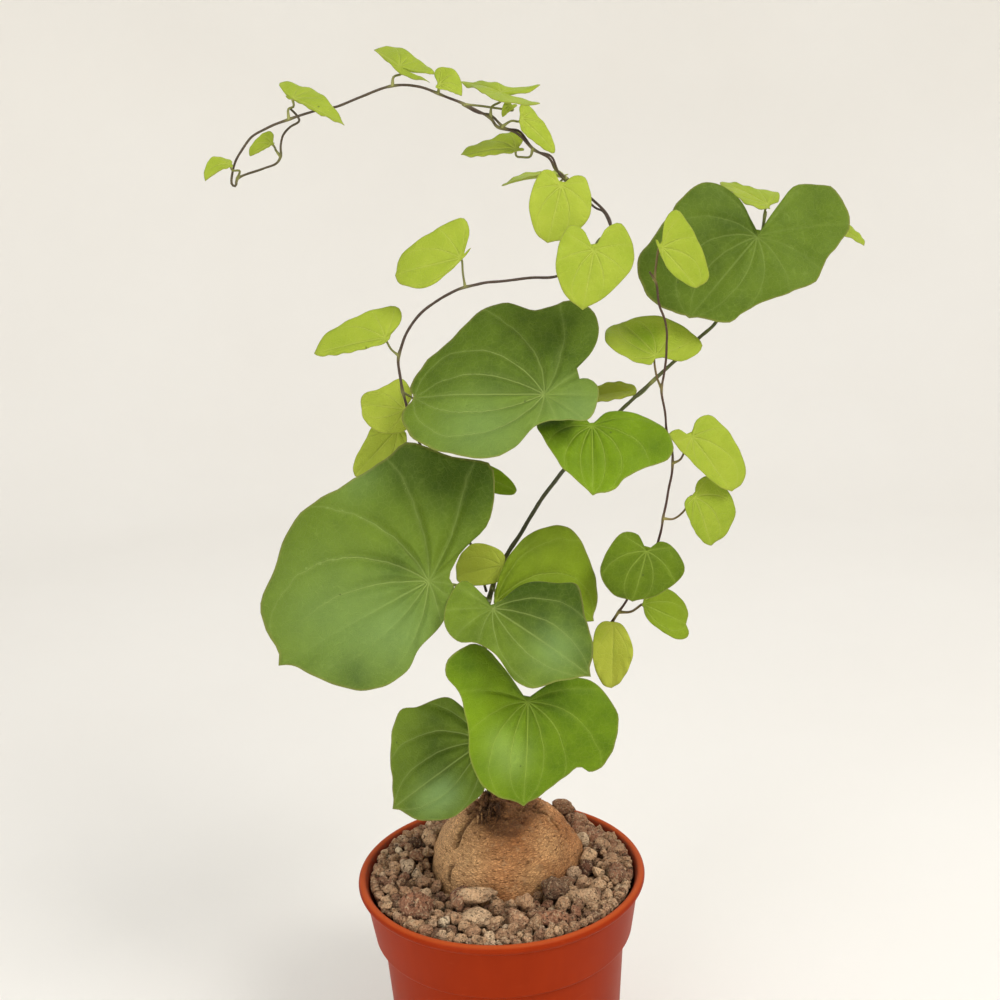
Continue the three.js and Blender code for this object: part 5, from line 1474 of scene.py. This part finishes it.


# What sets single leaves apart: their tone and yellowness, the painted light and shade on each half,
# the strength of veins and of clouds, how far the blade swells between veins and rumples, and soft
# spots of three kinds: painted light and shade, painted sheen and weaker veins. A spot's place is
# across and along the blade, in blade lengths, and then its size and amount follow.

LEAF_LOOKS = {
    "main_leaf_01": dict(tone=-0.2, contrast=(0.9, 0.8), spots=[
        ("painted_light", 0.51, 0.55, 0.25, 0.35), ("painted_light", 0.2, 0.4, 0.22, -0.35),
        ("painted_sheen", -0.17, 0.5, 0.14, 0.6), ("painted_sheen", -0.14, 0.68, 0.16, 0.5),
    ]),
    "main_leaf_02": dict(sides=(0.0, -0.15), contrast=(0.75, 0.8), spots=[
        ("painted_light", 0.6, 0.15, 0.3, 0.2), ("painted_sheen", 0.15, 0.55, 0.2, 0.4), ("painted_sheen", 0.3, 0.36, 0.15, 0.25),
        ("painted_light", 0.62, -0.4, 0.25, -0.25), ("painted_light", -0.2, -0.1, 0.25, -0.25),
    ]),
    "main_leaf_03": dict(tone=-0.1, sides=(-0.25, 0.0), contrast=(0.6, 0.9), spots=[
        ("painted_light", -0.15, -0.35, 0.28, 0.2), ("painted_light", 0.32, 0.15, 0.25, -0.3),
        ("painted_light", 0.5, 0.6, 0.2, -0.2), ("painted_sheen", 0.0, 0.65, 0.22, 0.45),
    ]),
    "main_leaf_04": dict(tone=1.3, contrast=(0.4, 0.6), puff=0.4, rumple=0.5),
    "main_leaf_05": dict(tone=0.05, yellow=0.1, spots=[
        ("painted_light", 0.59, 0.13, 0.2, -0.2), ("painted_light", 0.3, 0.95, 0.3, 0.2),
    ]),
    "main_leaf_06": dict(puff=1.5, contrast=(1.0, 0.45), spots=[
        ("veins", -0.25, 0.5, 0.45, -0.9), ("veins", 0.05, 0.85, 0.3, -0.7),
        ("painted_light", 0.7, -0.15, 0.28, -0.35), ("painted_light", 0.31, -0.5, 0.25, -0.45),
        ("painted_light", 0.52, -0.33, 0.2, -0.15), ("painted_sheen", 0.07, 0.6, 0.35, 0.3),
        ("painted_sheen", -0.16, 0.26, 0.25, 0.35), ("painted_light", -0.27, 0.6, 0.12, -0.35),
        ("painted_light", 0.14, 0.13, 0.09, -0.3), ("painted_sheen", 0.7, 0.1, 0.15, 0.25),
    ]),
    "main_leaf_07": dict(sides=(-0.25, 0.0), contrast=(0.8, 0.6), spots=[
        ("painted_sheen", -0.33, 0.47, 0.35, 0.35), ("painted_sheen", -0.15, -0.25, 0.25, 0.35),
        ("painted_light", 0.5, -0.1, 0.3, -0.1),
    ]),
    "main_leaf_08": dict(tone=0.2, spots=[
        ("painted_light", 0.5, 0.05, 0.28, -0.5), ("painted_light", -0.85, 0.34, 0.2, -0.3),
    ]),
    "main_leaf_09": dict(tone=0.9, yellow=0.45, contrast=(0.2, 0.4), puff=0.0, rumple=0.3),
    "main_leaf_10": dict(tone=-0.25, sides=(-0.12, 0.0), puff=1.6, contrast=(0.32, 0.5), spots=[
        ("painted_light", 0.24, 0.04, 0.15, -0.15), ("painted_light", -0.32, 0.69, 0.2, -0.1),
    ]),
    "right_leaf_01": dict(tone=0.8, yellow=0.2, contrast=(0.4, 0.8), puff=0.4, spots=[
        ("painted_light", 0.3, 0.1, 0.2, -0.7),
    ]),
    "right_leaf_02": dict(tone=0.2, yellow=0.12),
    "right_leaf_03": dict(tone=-0.7, yellow=0.05),
    "right_leaf_04": dict(tone=-0.35),
    "right_leaf_06": dict(spots=[("painted_light", -0.1, 0.4, 0.35, -0.5)]),
    "arch_leaf_01": dict(tone=0.6),
    "arch_leaf_02": dict(tone=0.5),
    "arch_leaf_03": dict(tone=0.5),
    "arch_leaf_07": dict(tone=0.3),
}

make_pot()
make_caudex()
make_crown()
make_grit()
make_stem("main_stem", "olive_stem", [(MAIN_ROUTE, 0.95, 0.5, 16, (0.0, 0.5))], "main")
make_stem("right_vine", "red_vine", [(RIGHT_ROUTE, 0.5, 0.36, 12, (0.0, 0.3))], "right")
make_stem(
    "arch_vine", "grey_vine",
    [(ARCH_ROUTE, 0.5, 0.36, 12, (0.0, 0.3)), (SECOND_STRAND, 0.38, 0.38, 10, (0.0, 0.1))], "arch",
    swellings=[(-0.7, -9, 362.7), (9.7, -7, 355.6), (20.4, -5, 348.7), (27.5, -2, 342.5)])
for leaf_name, leaf_data in LEAVES.items():
    make_blade(leaf_name, leaf_data, LEAF_LOOKS.get(leaf_name, {}))


# Studio: a pale floor that rises to a low wall all round, three soft lights and a pale sky


def make_stage():
    """A wide floor turned from an outline: flat, then a quarter round, then an upright wall."""
    flat, bend, top, sides = 900, 500, 1500, 96
    turn = np.linspace(0, np.pi / 2, 16)
    curve = np.column_stack([flat + bend * np.sin(turn), bend - bend * np.cos(turn)])
    outline = np.vstack([[[0, 0]], curve, [[flat + bend, top]]])
    around = np.linspace(0, 2 * np.pi, sides, endpoint=False)
    radius, height = outline[1:, :1], outline[1:, 1:]
    rings = np.stack([radius * np.cos(around), radius * np.sin(around), height + 0 * around], axis=-1)
    rows = len(rings)
    points = np.vstack([rings.reshape(-1, 3), [[0, 0, 0]]])
    here = np.arange(rows * sides).reshape(rows, sides)
    beside = np.roll(here, -1, axis=1)
    walls = np.stack([here[:-1], here[1:], beside[1:], beside[:-1]], axis=-1).reshape(-1, 4)
    middle = np.column_stack([np.full(sides, rows * sides), here[0], beside[0]])
    floor = add_object("studio_floor", points, [walls, middle])
    floor.data.polygons.foreach_set("use_smooth", [True] * len(floor.data.polygons))
    floor.data.materials.append(make_floor_material())


def add_light(name, place, target, size, power, colour):
    """A square soft light at a place, aimed at a target."""
    data = bpy.data.lights.new(name, "AREA")
    data.shape = "SQUARE"
    data.size = size
    data.energy = power
    data.color = colour
    lamp = bpy.data.objects.new(name, data)
    lamp.location = place
    lamp.rotation_euler = (Vector(target) - Vector(place)).to_track_quat("-Z", "Y").to_euler()
    bpy.context.scene.collection.objects.link(lamp)


CAMERA_PLACE = (0.0053, -0.4323, 0.339)
CAMERA_PITCH = np.radians(13.72)  # how far it looks down
CAMERA_ROLL = np.radians(2.46)
SENSOR_WIDTH = 36
FOCAL_PIXELS = 1300
FRAME_PIXELS = 1000


def make_camera():
    """The photograph's view: it looks along +Y, tilted down and rolled a little."""
    data = bpy.data.cameras.new("photo_camera")
    data.sensor_fit = "HORIZONTAL"
    data.sensor_width = SENSOR_WIDTH
    data.lens = SENSOR_WIDTH * FOCAL_PIXELS / FRAME_PIXELS
    data.clip_start = 0.01
    pitch, roll = CAMERA_PITCH, CAMERA_ROLL
    right = np.array([1, 0, 0])
    ahead = np.array([0, np.cos(pitch), -np.sin(pitch)])
    upward = np.array([0, np.sin(pitch), np.cos(pitch)])
    rolled_right = np.cos(roll) * right - np.sin(roll) * upward
    rolled_up = np.sin(roll) * right + np.cos(roll) * upward
    frame_axes = np.column_stack([rolled_right, rolled_up, -ahead])
    camera = bpy.data.objects.new("photo_camera", data)
    camera.matrix_world = Matrix.Translation(CAMERA_PLACE) @ Matrix(frame_axes.tolist()).to_4x4()
    bpy.context.scene.collection.objects.link(camera)
    bpy.context.scene.camera = camera


make_stage()
add_light("key", (0.6, -0.6, 1.0), (0, 0, 0.2), 0.4, 7.5, (1.0, 0.985, 0.96))
add_light("fill", (-0.6, -0.95, 0.36), (0, 0, 0.12), 0.6, 4.2, (0.95, 0.98, 1.0))
add_light("back", (0.1, 0.9, 1.0), (0, 0, 0.25), 0.8, 1.6, (1.0, 1.0, 1.0))
world = bpy.data.worlds.new("pale_sky")
world.use_nodes = True
background = world.node_tree.nodes["Background"]
background.inputs["Color"].default_value = (0.92, 0.95, 1.0, 1.0)
background.inputs["Strength"].default_value = 0.68
bpy.context.scene.world = world
bpy.context.scene.view_settings.view_transform = "Standard"
make_camera()
